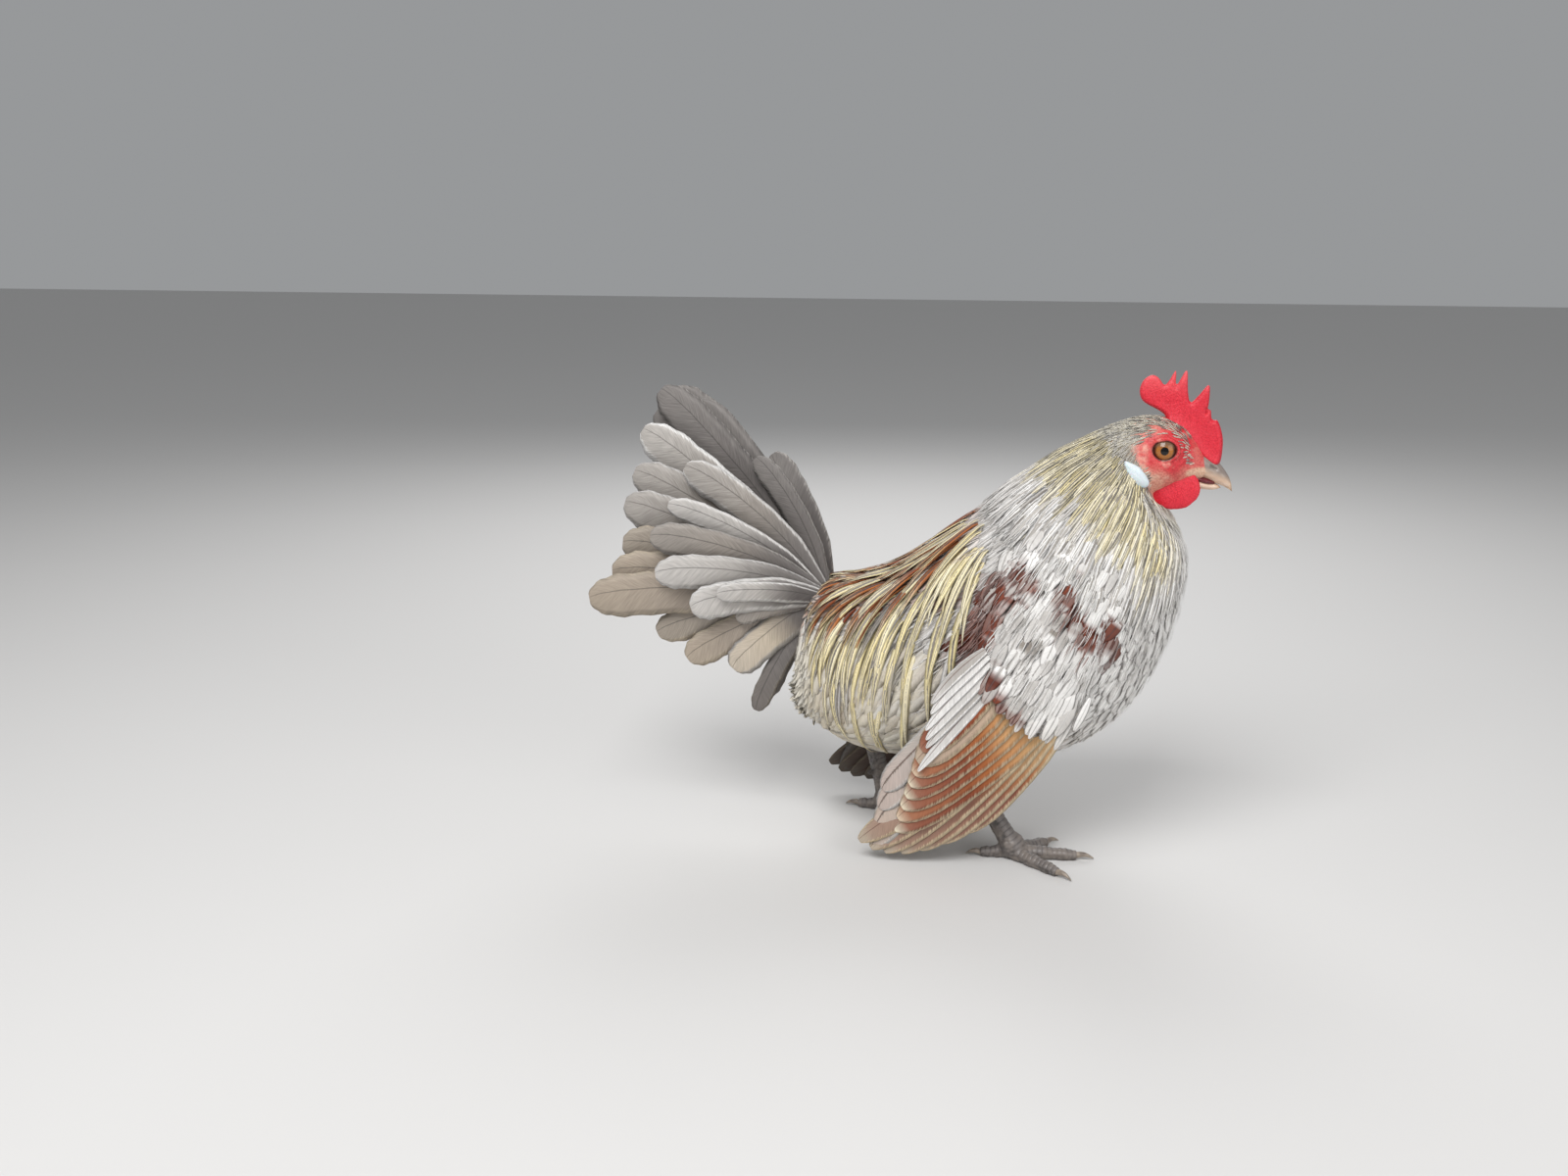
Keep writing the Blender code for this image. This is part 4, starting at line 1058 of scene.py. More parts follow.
def flesh_colours(points, on_head, pigment):
    """Skin tones: red round the eye and towards the comb, horn at the gape, and behind, the plumage's own
    colour darkened as painted shade between the feathers.
    """
    x, _, z = points.T
    away = eye_distance(points)
    face = on_head & (x > 95)
    red = (smooth(3.2, 1.6, away) * 0.8 + smooth(104, 112, x) * 0.6) * face
    flesh = blend("skin", "pale_skin", smooth(169, 163, z) * 0.7)
    flesh = blend(flesh, "face_red", np.clip(red + 0.25 * drift(points, 2.5, 6.0), 0, 1))
    flesh = blend(flesh, tone("umber") * 0.5, ((away < 1.13) & face) * 0.85)
    flesh = blend(flesh, "horn", smooth(1.15, 0.75, np.hypot((x - 121.5) / 6, (z - 164) / 2.3)))
    # Under the coat the skin takes the plumage's colour darkened by a fifth: painted shade where it shows
    # between the feathers.
    return blend(pigment * 0.8, flesh, smooth(93, 98, x) * on_head)


BODY_LENGTHS = ((0, 3, 6, 8.5, 10, 11, 12, 14, 18), (11, 11, 11.5, 11, 8.5, 6, 4.4, 3.2, 2))
LIMB_LENGTH = 9
BREAST_FROM = 48
THIGH_LIE = (-0.45, 0, -0.9)


def dress_skin(skin, samples):
    """Stores on the skin the lie, length, cover and colours of its feathers, and the bake map."""
    mesh, points = skin.data, point_array(skin)
    x, y, z = points.T
    numbers, kinds = nearest_samples(points, samples)
    body, thigh, arm = kinds == BODY, kinds == THIGH, kinds == ARM
    place = np.where(body, numbers[:, 0], np.where(thigh, 5.0, 6.0))
    turn = np.where(body, numbers[:, 1], 1.5 * np.sign(y))
    lie = skin_lie(place, turn)
    lie[thigh] = THIGH_LIE
    for side_name, side in SIDES.items():
        fall = WING_FALL[side_name]
        lie[arm & (np.sign(y) == side)] = (math.cos(fall), 0, math.sin(fall))
    length = np.where(body, np.interp(place, *BODY_LENGTHS), LIMB_LENGTH)
    on_head = place > HEAD_FEATHERS_FROM
    throat = (np.abs(turn) > THROAT_TURN) & (place < THROAT_TO)
    plumed = (place < HACKLES_FROM) | throat
    colours = plumage_of(points, place, turn)
    store_plumage(mesh, colours)
    store_colour(mesh, "flesh", flesh_colours(points, on_head, colours[0]))
    uv = np.stack(body_uv(place, turn), 1)
    uv[thigh] = np.stack([0.6 + (y[thigh] + 40) / 1000, z[thigh] / 200], 1)
    uv[arm] = np.stack([0.75 + 0.1 * np.sign(y[arm]) + numbers[arm, 1] / 400, 0.3 + numbers[arm, 0] / 200], 1)
    for name, values in (
        ("lie", lie), ("size", length * MM), ("arm", arm), ("cover_breast", plumed & (x >= BREAST_FROM)),
        ("cover_flanks", plumed & (x < BREAST_FROM)), ("cover_head", head_cover(points, on_head)),
        ("skin_uv", np.column_stack([uv, 0 * place])),
        ("reach", np.stack([length * 0.32, length, 0 * length], 1)),
    ):
        store(mesh, name, values)
    bake = mesh.uv_layers.new(name="OFBake")
    corners = np.zeros(len(mesh.loops), int)
    mesh.loops.foreach_get("vertex_index", corners)
    bake.data.foreach_set("uv", uv[corners].astype(np.float32).ravel())
    return skin


BLANK_STATIONS = (0, 0.3, 0.62, 0.87, 1.0)
BLANK_SPREAD = (0.3, 0.82, 1, 0.68, 0.12)
BLANK_BEND = 0.085


def skin_material(effect):
    """Skin of the face in its stored colours, darker between the grains."""
    material, tree = new_material(
        "skin_of_face", Roughness=0.5, Subsurface_Weight=0.12, Subsurface_Scale=0.002)
    readings = grain_readings(tree, effect, 1500)
    flesh = attribute(tree, "flesh", "Color")
    groove = overlay(tree, 1.0, flesh, "face_groove", "MULTIPLY")
    colour = layered(tree, groove, (readings["Height"], 0.2, 0.75, 1, flesh),
                     (readings["Drift"], 0.5, 0.75, 0.35, "cream"))
    return painted(material, colour, readings["Height"], 0.4, 0.3)


BLANK_THICKNESS = 0.06


def feather_blank(breadth):
    """One small feather of unit length along +Y: cupped over its width, bent down and rounded at its end."""
    points = []
    thick = breadth * BLANK_THICKNESS
    for y, spread in zip(BLANK_STATIONS, BLANK_SPREAD):
        half = spread * breadth
        for x, z in ((-half, -thick), (0, thick), (half, -thick), (0, -thick / 2)):
            points.append((x, y, z - BLANK_BEND * y ** 2))
    points = np.array(points)
    last = len(points) - 4
    faces = ring_faces(len(BLANK_STATIONS), 4) + [(0, 3, 2, 1), (last, last + 1, last + 2, last + 3)]
    blank = mesh_object("feather_blank", points / MM, faces)
    store(blank.data, "across", np.sign(points[:, 0]))
    store(blank.data, "along", points[:, 1])
    return face_out(blank)


# Long feathers on guide lines.


class Shafts:
    """Guide lines of many feathers, with what the vane tree reads at each of their points."""

    def __init__(self):
        self.lines = []

    def add(self, points, out, half_widths, root_uv, colours, lot):
        """One line of points in millimetres, with pigment, marking, edging, tipping and pattern, each given
        once or for every point."""
        ahead = unit(np.gradient(points, axis=0))
        length = np.linalg.norm(np.diff(points, axis=0), axis=1).sum()
        line = {
            "points": points,
            "out": unit(out - ahead * (out * ahead).sum(1, keepdims=True)),
            "half_width": np.asarray(half_widths)[:, None] * MM,
            "along": run_shares(points)[:, None],
            "lot": (lot,),
            "skin_uv": (*root_uv, 0),
            "reach": (max(half_widths), length, 0),
            "pattern": colours[-1],
        }
        line.update(zip(PLUMAGE_COLOURS, colours))
        self.lines.append({
            name: np.broadcast_to(rows, (len(points), np.shape(rows)[-1])) for name, rows in line.items()})

    def guide_object(self):
        edges, first = [], 0
        for line in self.lines:
            end = first + len(line["points"])
            edges += [(i, i + 1) for i in range(first, end - 1)]
            first = end
        rows = {name: np.concatenate([line[name] for line in self.lines]) for name in self.lines[0]}
        mesh = bpy.data.meshes.new("shafts")
        mesh.from_pydata((rows.pop("points") * MM).tolist(), edges, [])
        for name, values in rows.items():
            (store_colour if name in PLUMAGE_COLOURS else store)(mesh, name, values)
        return linked("shafts", mesh)


def run_shares(points):
    """Share of a line's length that has passed at each of its points."""
    steps = np.linalg.norm(np.diff(points, axis=0), axis=1)
    passed = np.concatenate([[0], np.cumsum(steps)])
    return passed / passed[-1]


def section_object(name, half_count, camber, thickness, shaft_at=0.0):
    """A vane's closed cross-section for a half width of one: x out of the vane, y across it."""
    sides = np.linspace(-1, 1, half_count)
    over = [(camber * (1 - abs(s) ** 1.6) + thickness * (1 - 0.8 * s * s), s) for s in sides]
    under = [(camber * (1 - abs(s) ** 1.6) - thickness * (1 - 0.8 * s * s), s) for s in sides[::-1][1:-1]]
    rim = over + under
    mesh = bpy.data.meshes.new(name)
    mesh.from_pydata([(x, y, 0) for x, y in rim], [(i, (i + 1) % len(rim)) for i in range(len(rim))], [])
    store(mesh, "across", [(y - shaft_at) / (1 - math.copysign(shaft_at, y - shaft_at)) for _, y in rim])
    return linked(name, mesh)


def vanes(name, shafts, tree, section, finish):
    """The closed vanes over a set of guide lines, as one piece."""
    guides = shafts.guide_object()
    piece = grown_by(tree, name, guides, Section=section, Finish=finish)
    bpy.data.objects.remove(guides)
    if signed_volume(piece) < 0:
        piece.data.flip_normals()
    return piece


def signed_volume(obj):
    """The volume that a mesh's faces enclose, negative when they face inwards."""
    mesh = obj.data
    mesh.calc_loop_triangles()
    corners = np.zeros(len(mesh.loop_triangles) * 3, int)
    mesh.loop_triangles.foreach_get("vertices", corners)
    corners = corners.reshape(-1, 3)
    points = point_array(obj)
    a, b, c = (points[corners[:, k]] for k in range(3))
    return (a * np.cross(b, c)).sum() / 6


def drape(surface, root, heading, length, lifts, sway=0.0, droop=0.0):
    """A shaft laid along a surface from its root, with its points lifted off it, and its normals."""
    steps = len(lifts) - 1
    point = Vector(root)
    heading = Vector(heading).normalized()
    points, normals = [], []
    for i, lift in enumerate(lifts):
        near, normal, _, _ = surface.find_nearest(point)
        points.append(near + normal * lift)
        normals.append(normal)
        aside = normal.cross(heading)
        way = heading + Vector((0, 0, -droop * i / steps))
        ahead = way - normal * way.dot(normal) + aside * sway * (i / steps)
        point = near + ahead.normalized() * length / steps
    return np.array(points), np.array(normals)


def surface_in_mm(obj):
    """A search tree over an object's faces, in millimetres."""
    points = point_array(obj)
    polygons = [tuple(face.vertices) for face in obj.data.polygons]
    return BVHTree.FromPolygons([tuple(p) for p in points], polygons)


def lancet_widths(half_width, shares, root=0.55, belly=0.4):
    """Half widths of a narrow feather that swells a little and runs to a point."""
    swell = root + (1 - root) * np.sin(np.clip(shares / belly, 0, 1) * math.pi / 2)
    point_end = np.where(shares < belly, 1, 1 - ((shares - belly) / (1 - belly)) ** 1.9)
    return half_width * np.maximum(swell * point_end, 0.03)


def rounded_widths(half_width, shares, root=0.35, round_from=0.72):
    """Half widths of a feather that is narrow at the root, full past the middle and round at the end."""
    round_end = np.sqrt(np.maximum(0, 1 - np.maximum(0, (shares - round_from) / (1.005 - round_from)) ** 2.2))
    return half_width * np.minimum(1, root + 1.5 * shares) * np.maximum(0.05, round_end)


def crowded(count):
    """Shares from 0 to 1 that crowd towards the end, where the outline rounds off."""
    return 1 - (1 - np.linspace(0, 1, count)) ** 2.1


def body_uv(place, turn):
    """The bake map's place for a place and turn on the body."""
    return 0.02 + 0.55 * (turn / (2 * math.pi) + 0.5), 0.02 + 0.96 * place / 18


def hackle_colours(place, share, source):
    """A neck hackle: cream with a dark centre by the head, white and grey lower down and round the front."""
    creamy = float(smooth(9.5, 10.2, place + source.uniform(-0.25, 0.25)) * smooth(1.0, 0.8, share))
    high = float(smooth(10.5, 11.3, place))
    warm = blend("cream", "straw", source.uniform(0, 1))
    cool = blend("silver", "white", source.uniform(0, 1))
    pigment = blend(cool, warm, creamy * source.uniform(0.7, 1))
    nape = float(smooth(0.55, 0.25, share) * smooth(9.6, 10.3, place))
    dark = blend("warm_grey", "charcoal", max(source.random() ** 0.6, 0.95 * max(high, nape)))
    marking = blend(blend("pearl", "slate", source.random()), dark, creamy)
    tipping = blend(pigment, warm, 0.7 * creamy)
    stripe = source.uniform(0.12, 0.5) + 0.05 * high + 0.16 * nape
    return pigment, marking, blend(pigment, "white", 0.3), tipping, (stripe, 0.12, 0.9)


# Places along the body, and what is read off at them: the hackles' lengths at the back and the front, how far
# round they reach in degrees, and their half widths.
NECK_PLACES = (8.4, 9, 9.7, 10.3, 10.9, 11.5)
NECK_BACK_LENGTHS = (31, 36, 34, 29, 22, 8)
NECK_FRONT_LENGTHS = (20, 25, 26, 24, 18, 6)
NECK_REACH = ((8.4, 9.4, 10.4, 11.5), (86, 130, 158, 170))
NECK_HALF_WIDTHS = ((8.4, 10.2, 11.5), (1.6, 1.15, 0.65))
NECK_LIFTS = (-0.8, 0.7, 1.2, 1.6, 1.8, 1.8, 1.7, 1.5)
SADDLE_REACH = ((1.4, 4, 5.1, 6.1), (90, 82, 66, 46))
SADDLE_BACK_LENGTHS = ((2, 4, 5.9), (18, 28, 38))
SADDLE_LOW_LENGTHS = ((2, 3.2, 4.4, 5.9), (38, 60, 60, 42))
SADDLE_LIFTS = (-1.5, 0.9, 1.7, 2.2, 2.6, 2.8, 2.8, 2.6)


def clump(place, share, side):
    """How far a hackle leans to one side to lie with its neighbours in a clump."""
    return 0.3 * noise.noise(Vector((share * 9, place * 1.3, side * 4.0)))


NECK_ROWS = 20
NECK_FIRST = 11.5
NECK_LAST = 8.45
NECK_A_SIDE = 33
SADDLE_ROWS = 12
SADDLE_A_SIDE = 14
SADDLE_CLUMPS = 2 * math.pi / 9


def make_neck_hackles(surface, source):
    """Rows of lancets from the back of the head to the shoulders, longer lower down, each over the next."""
    shafts = Shafts()
    for row in range(NECK_ROWS, -1, -1):
        place = NECK_FIRST + (NECK_LAST - NECK_FIRST) * row / NECK_ROWS
        back = np.interp(place, NECK_PLACES, NECK_BACK_LENGTHS)
        front = np.interp(place, NECK_PLACES, NECK_FRONT_LENGTHS)
        last_turn = math.radians(np.interp(place, *NECK_REACH))
        for i in range(-NECK_A_SIDE, NECK_A_SIDE + 1):
            share = min(1, abs(i + 0.5 * (row % 2) + source.uniform(-0.35, 0.35)) / NECK_A_SIDE)
            side = -1 if i < 0 else 1
            at_place = place + source.uniform(-0.1, 0.1)
            turn = side * share * last_turn
            root = body_point(at_place, turn)
            length = (back + (front - back) * share) * source.uniform(0.78, 1.1)
            lean = clump(place, share, side)
            heading = (-1, side * (0.55 * share * (1 - share) + lean), -0.6 - 2.3 * share + lean)
            lifts = np.array(NECK_LIFTS) + source.uniform(-0.3, 0.4)
            lifts *= float(np.interp(place, (10.6, 11.4), (1, 0.45)))
            sway = 1.2 * lean + source.uniform(-0.1, 0.1)
            points, normals = drape(surface, root, heading, length, lifts, sway)
            half = float(np.interp(place, *NECK_HALF_WIDTHS)) * source.uniform(0.7, 1.25)
            shafts.add(points, normals, lancet_widths(half, run_shares(points)), body_uv(at_place, turn),
                       hackle_colours(at_place, share, source), source.random())
    return shafts


def saddle_colours(share, source):
    """A saddle hackle: rust and dark over the back, cream yellow where it hangs down the side."""
    top = float(smooth(0.6, 0.3, share))
    rusty = source.random() < 0.8 * top
    grey = source.random() < 0.12 * (1 - top)
    pigment = blend("cream", "straw", source.uniform(0.3, 1))
    if rusty:
        pigment = blend("orange", "rust", source.random())
    if grey:
        pigment = blend("silver", "warm_grey", source.random())
    marking = blend("umber", "charcoal", 0.5) if rusty else blend("warm_grey", "slate", source.random())
    tipping = blend("straw", "cream", source.random())
    stripe = source.uniform(0.3, 0.6) * top + source.uniform(0.05, 0.4) * (1 - top)
    return pigment, marking, pigment, tipping, (stripe, 0.1, 0.35 if grey else 0.85)


def make_saddle_hackles(surface, source):
    """Rows of lancets over the saddle. The low ones are long, and hang in clumps down the flanks."""
    shafts = Shafts()
    for row in range(SADDLE_ROWS):
        place = 6.1 - 4.7 * row / (SADDLE_ROWS - 1)
        last_turn = math.radians(np.interp(place, *SADDLE_REACH))
        for i in range(-SADDLE_A_SIDE, SADDLE_A_SIDE + 1):
            share = min(1, abs(i + 0.5 * (row % 2) + source.uniform(-0.3, 0.3)) / SADDLE_A_SIDE)
            if share > 0.7 and source.random() < 0.4:
                continue
            side = -1 if i < 0 else 1
            turn = side * share * last_turn
            at_place = place + source.uniform(-0.3, 0.15) + 0.5 * noise.noise(Vector((turn * 4, place, 3.0)))
            root = body_point(at_place, turn)
            back = np.interp(place, *SADDLE_BACK_LENGTHS)
            low = np.interp(place, *SADDLE_LOW_LENGTHS)
            length = (back + (low - back) * share) * source.uniform(0.72, 1.1)
            heading = (-1 + 0.6 * share, side * 0.3 * share * (1 - share), -0.45 - 1.6 * share ** 1.5)
            lifts = np.array(SADDLE_LIFTS) + source.uniform(-0.4, 0.7)
            gather = 0.5 * side * share * math.sin(root[0] * SADDLE_CLUMPS)
            sway = 1.1 * clump(place * 3, share, side) + gather
            droop = 2.2 * smooth(0.2, 0.5, share)
            points, normals = drape(surface, root, heading, length, lifts, sway, droop)
            half = source.uniform(1.1, 1.9)
            shafts.add(points, normals, lancet_widths(half, run_shares(points)), body_uv(at_place, turn),
                       saddle_colours(share, source), source.random())
    return shafts


FLUFF_TOPS = ((0, 2.5, 4.8), (35, 58, 75))
FLUFF_LENGTHS = ((0.1, 1.2, 2.2, 4.8), (17, 22, 30, 24))
FLUFF_LIFTS = (-1.0, 0.2, 0.7, 1.1, 1.4, 1.5, 1.6)
FLUFF_PATTERN = (0.0, 0.2, 0.8)


def make_fluff(wisp, count, surface, source):
    """Soft broad feathers over the vent, the flanks and the belly, or the thin loose wisps over them."""
    shafts = Shafts()
    for _ in range(count):
        place = 0.05 + 4.75 * source.random() ** 1.3
        side = source.choice((-1, 1))
        turn = side * math.radians(source.uniform(np.interp(place, *FLUFF_TOPS), 179))
        under = float(smooth(1.6, 2.6, abs(turn)))
        root = body_point(place, turn, -1.5)
        length = np.interp(place, *FLUFF_LENGTHS) * source.uniform(0.7, 1.1)
        skirt = float(smooth(1.3, 0.6, place)) * (1 - under)
        heading = (
            -0.62 - 0.25 * under + 0.2 * skirt + source.uniform(-0.08, 0.08), side * 0.08 * (1 - skirt),
            -0.85 + 0.4 * under - 0.3 * skirt + source.uniform(-0.08, 0.08))
        lifts = np.array(FLUFF_LIFTS) * source.uniform(0.8, 1.2) + 0.4 * wisp
        points, normals = drape(surface, root, heading, length, lifts, source.uniform(-0.1, 0.1))
        shares = run_shares(points)[:, None]
        free = np.array(heading) / np.linalg.norm(heading)
        leaving = max(0.5 * float(smooth(2.6, 0.4, place)), 0.9 * skirt)
        points = points + leaving * shares ** 1.5 * (points[0] + free * length * shares - points)
        shares = run_shares(points)
        pigment = blend(blend("beige", "silver", source.random()), "cream", 0.4 * source.random())
        pigment = blend(pigment, "pearl", 0.5 * float(smooth(2.5, 4.5, place)))
        # Painted light: the fluff at the vent, under the tail, is whitened to lift the shadow that falls
        # there.
        pigment = blend(pigment, "white", 0.4 * float(smooth(1.8, 0.8, place)))
        edge, side_tone = blend(pigment, "white", 0.25), blend(pigment, "cream", 0.35)
        colours = (pigment, pigment, edge, side_tone, FLUFF_PATTERN)
        if wisp:
            widths = lancet_widths(source.uniform(0.12, 0.3), shares, belly=0.6)
        else:
            widths = rounded_widths(source.uniform(2.6, 4.2), shares, 0.4, 0.35)
        shafts.add(points, normals, widths, body_uv(place, turn), colours, source.random())
    return shafts


WISPS = 4800
WISP_PATTERN = (0, 0.1, 0.2)
WISP_LIFTS = ((-0.5, 0.9, 1.5, 1.8, 1.9), (-0.5, 1.6, 2.4, 2.7, 2.7))


def make_wisps(skin, surface, source):
    """Fine loose barbs over the small feathers and the coverts, each near the colour of its place."""
    shafts = Shafts()
    points = point_array(skin)
    lie, uv, pigment, arm, breast, flanks = (stored(skin.data, name, width) for name, width in (
        ("lie", 3), ("skin_uv", 3), ("pigment", 4), ("arm", 1), ("cover_breast", 1), ("cover_flanks", 1)))
    shown = np.flatnonzero(((breast + flanks)[:, 0] > 0.5) & (points[:, 0] > 18))
    for _ in range(WISPS):
        k = source.choice(shown)
        root = points[k] + [source.uniform(-2, 2) for _ in range(3)]
        heading = lie[k] + [source.uniform(-0.12, 0.12) for _ in range(3)]
        lifts = np.array(WISP_LIFTS[int(arm[k, 0])]) + source.uniform(-0.2, 0.5)
        length, sway = source.uniform(7, 12), source.uniform(-0.15, 0.15)
        line, normals = drape(surface, root, heading, length, lifts, sway)
        own = pigment[k, :3]
        other = tone("warm_grey") if source.random() < 0.22 else tone("white")
        keep = 0.25 if own.mean() < 0.2 else 1
        tint = mix(own, other, keep * source.uniform(0.15, 0.7))
        widths = lancet_widths(source.uniform(0.12, 0.26), run_shares(line), belly=0.6)
        shafts.add(line, normals, widths, uv[k, :2], (tint, tint, tint, tint, WISP_PATTERN), source.random())
    return shafts


def wing_uv(side_name, along, across):
    """The bake map's place for a place on the wing."""
    return 0.5 + 0.2 * SIDES[side_name] + across / 400, 0.2 + along / 200


# Wings.


PRIMARIES = 7
SECONDARIES = 8
TERTIALS = 6
REAR_FEATHERS = 4
# Where each row of coverts starts along the wing, and how long its feathers are.
COVERT_ROWS = ((-11, 12), (-4, 13), (3, 13), (10, 13), (17, 14), (24, 14), (31, 15), (38, 15), (44, 16))
COVERT_SPACING = 3.3
WING_STATIONS = 12
ROOT_SINK = 2.5


def wing_shaft(side_name, root, tip, lift, bulge):
    """Points and normals of a wing feather between (along, across) places, rising from inside the arm."""
    shares = crowded(WING_STATIONS)[:, None]
    root, tip = np.array((*root, lift), float), np.array((*tip, lift), float)
    middle = (root + tip) / 2 + (0, bulge, 0)
    line = root * (1 - shares) ** 2 + 2 * middle * shares * (1 - shares) + tip * shares ** 2
    line[:, 2] -= ROOT_SINK * (1 - shares[:, 0]) ** 4
    here = wing_place(side_name, *line.T)
    over = wing_place(side_name, line[:, 0], line[:, 1] + 1, line[:, 2] + SHINGLE) - here
    ahead = np.gradient(here, axis=0)
    out = np.cross(over, ahead)
    out *= np.sign(out[:, 1:2]) * SIDES[side_name]
    return here, unit(out)


def wing_group(shafts, side_name, count, place_of, half_width, colours_of, source, round_from=0.72):
    """One row of wing feathers. place_of(i) gives root, tip, lift and bulge. On the far wing the long ones
    are darkened as painted shade.
    """
    for i in range(count):
        root, tip, lift, bulge = place_of(i)
        points, out = wing_shaft(side_name, root, tip, lift, bulge)
        widths = rounded_widths(half_width * source.uniform(0.95, 1.05), run_shares(points), 0.6, round_from)
        colours = list(colours_of(i, source))
        # Painted shade: on the far (left) wing, feathers whose tips reach past x 110 go most of the way to
        # charcoal, for the shadow they hang in behind the body.
        if side_name == "left" and tip[0] > 110:
            colours[:4] = [blend(colour, "charcoal", 0.8) for colour in colours[:4]]
        shafts.add(points, out, widths, wing_uv(side_name, *root), colours, source.random())


def along_feather(count, *stops):
    """Tones at a feather's points, from stops of share and tone."""
    shares = crowded(count)
    colours = np.array([tone(name) for _, name in stops])
    return np.stack([np.interp(shares, [share for share, _ in stops], colours[:, k]) for k in range(3)], 1)


def primary_colours(i, source):
    pigment = along_feather(WING_STATIONS, (0, "tan"), (0.3, "tan"), (0.45, "orange"),
                            (0.6, "rust"), (0.92, "rust"), (0.98, "beige"))
    pigment = blend(pigment, "dun", 0.1 + 0.4 * (i / (PRIMARIES - 1)))
    return pigment, tone("umber"), blend("cream", "tan", 0.5), tone("beige"), (0.0, 0.28, 0.25)


def secondary_colours(i, source):
    pigment = along_feather(WING_STATIONS, (0, "tan"), (0.28, "tan"), (0.42, "orange"),
                            (0.56, "rust"), (0.93, "rust"), (0.98, "beige"), (1, "cream"))
    pigment = blend(pigment, "orange", source.uniform(0, 0.35))
    pigment = blend(pigment, "rust", 0.85 * float(smooth(0.75, 0.95, i / (SECONDARIES - 1))))
    if i == SECONDARIES - 2:
        pigment = blend(pigment, "beige", 0.7)
    return pigment, blend("rust", "umber", 0.5), blend("cream", "tan", 0.45), tone("beige"), (0.0, 0.2, 0.12)


def tertial_colours(i, source):
    pigment = blend("silver", "warm_grey", source.random())
    return pigment, tone("slate"), tone("white"), blend(pigment, "white", 0.6), (0.0, 0.35, 0.7)


def rear_colours(i, source):
    pigment = blend("beige", "pearl", source.uniform(0.2, 0.9))
    edging, tipping = blend(pigment, "white", 0.5), blend(pigment, "skin", 0.15)
    return pigment, tone("warm_grey"), edging, tipping, (0.1, 0.3, 0.8)


def covert_colours(points, source):
    """A covert takes the plumage's colours where it lies, as streaks that end raggedly."""
    ragged = points + [0, 0, source.uniform(-2, 2)]
    pigment, *others, _ = plumage_of(ragged, np.full(len(points), 6.0), np.full(len(points), 1.5))
    pigment = blend(pigment, "pearl", source.random() ** 3)
    return pigment, *others, (source.uniform(0.0, 0.35), 0.3, 0.4)


ROOT_ROWS = 2
COVERT_LIFTS = (-1.5, 0.2, 0.7, 1.0, 1.2, 1.3, 1.3, 1.3, 1.2, 1.2, 1.1, 1.0)


def make_coverts(surface, side_name, source):
    """Rows of soft rounded coverts on the arm, the last two over the roots of the flight feathers."""
    shafts = Shafts()
    core = np.array(WING_CORE, float)
    for row, (along, length) in enumerate(COVERT_ROWS):
        middle, half_span = (np.interp(along + length, core[:, 0], core[:, k]) for k in (1, 2))
        half_span += 2
        count = round(2 * half_span / COVERT_SPACING)
        for k in range(count + 1):
            across = middle - half_span + 2 * half_span * (k + 0.5 * (row % 2)) / count
            across += source.uniform(-1, 1)
            start = along + source.uniform(-2, 2)
            reach = length * source.uniform(0.88, 1.15)
            if row < len(COVERT_ROWS) - ROOT_ROWS:
                root = wing_place(side_name, start, across)
                heading = wing_place(side_name, start + 5, across + source.uniform(-0.8, 0.8)) - root
                lifts = np.array(COVERT_LIFTS) + source.uniform(0, 1)
                points, out = drape(surface, root, heading, reach, lifts, source.uniform(-0.25, 0.25))
            else:
                lift = 0.6 + source.uniform(0, 0.9)
                points, out = wing_shaft(side_name, (start, across * 0.96), (start + reach, across), lift, 0)
            half, round_from = source.uniform(1.7, 3.1), source.uniform(0.35, 0.6)
            widths = rounded_widths(half, run_shares(points), 0.5, round_from)
            shafts.add(points, out, widths, wing_uv(side_name, along, across), covert_colours(points, source),
                       source.random())
    return shafts


FLIGHT_STEP = 0.62


def make_wing(side_name, source):
    """Primaries under secondaries under tertials, each row shingled."""
    shafts = Shafts()

    def rear(i):
        share = i / (REAR_FEATHERS - 1)
        return (50, 4 - 4 * share), (141 - 24 * share, -3 - 9.5 * share), -6.2 + 0.5 * i, -1

    def primary(i):
        share = i / (PRIMARIES - 1)
        tip = (116 + 58 * share - 31 * share ** 2, 25 - 34 * share)
        return (45, 33 - 12 * share), tip, -FLIGHT_STEP * (SECONDARIES + PRIMARIES - i), 5

    def secondary(i):
        share = i / (SECONDARIES - 1)
        return (44, 29 - 30 * share), (129 - 38 * share, 0.5 - 9 * share), -FLIGHT_STEP * (SECONDARIES - i), 4

    def tertial(i):
        share = i / (TERTIALS - 1)
        tip = (97 - 28 * share + source.uniform(-3, 3), -4.5 - 11 * share + source.uniform(-0.8, 0.8))
        return (47 - 6 * share, 2 - 11 * share), tip, 0.5 + 0.4 * i, -1 - 2 * share

    wing_group(shafts, side_name, PRIMARIES, primary, 6.2, primary_colours, source)
    wing_group(shafts, side_name, REAR_FEATHERS, rear, 6.2, rear_colours, source, 0.82)
    wing_group(shafts, side_name, SECONDARIES, secondary, 7, secondary_colours, source)
    wing_group(shafts, side_name, TERTIALS, tertial, 2.6, tertial_colours, source, 0.35)
    return shafts


# Tail.


TAIL_STATIONS = 24
TAIL_EXTRA_CURL = 8
TAIL_MIDDLE = ((55, 100), (46, 108), (38, 96))


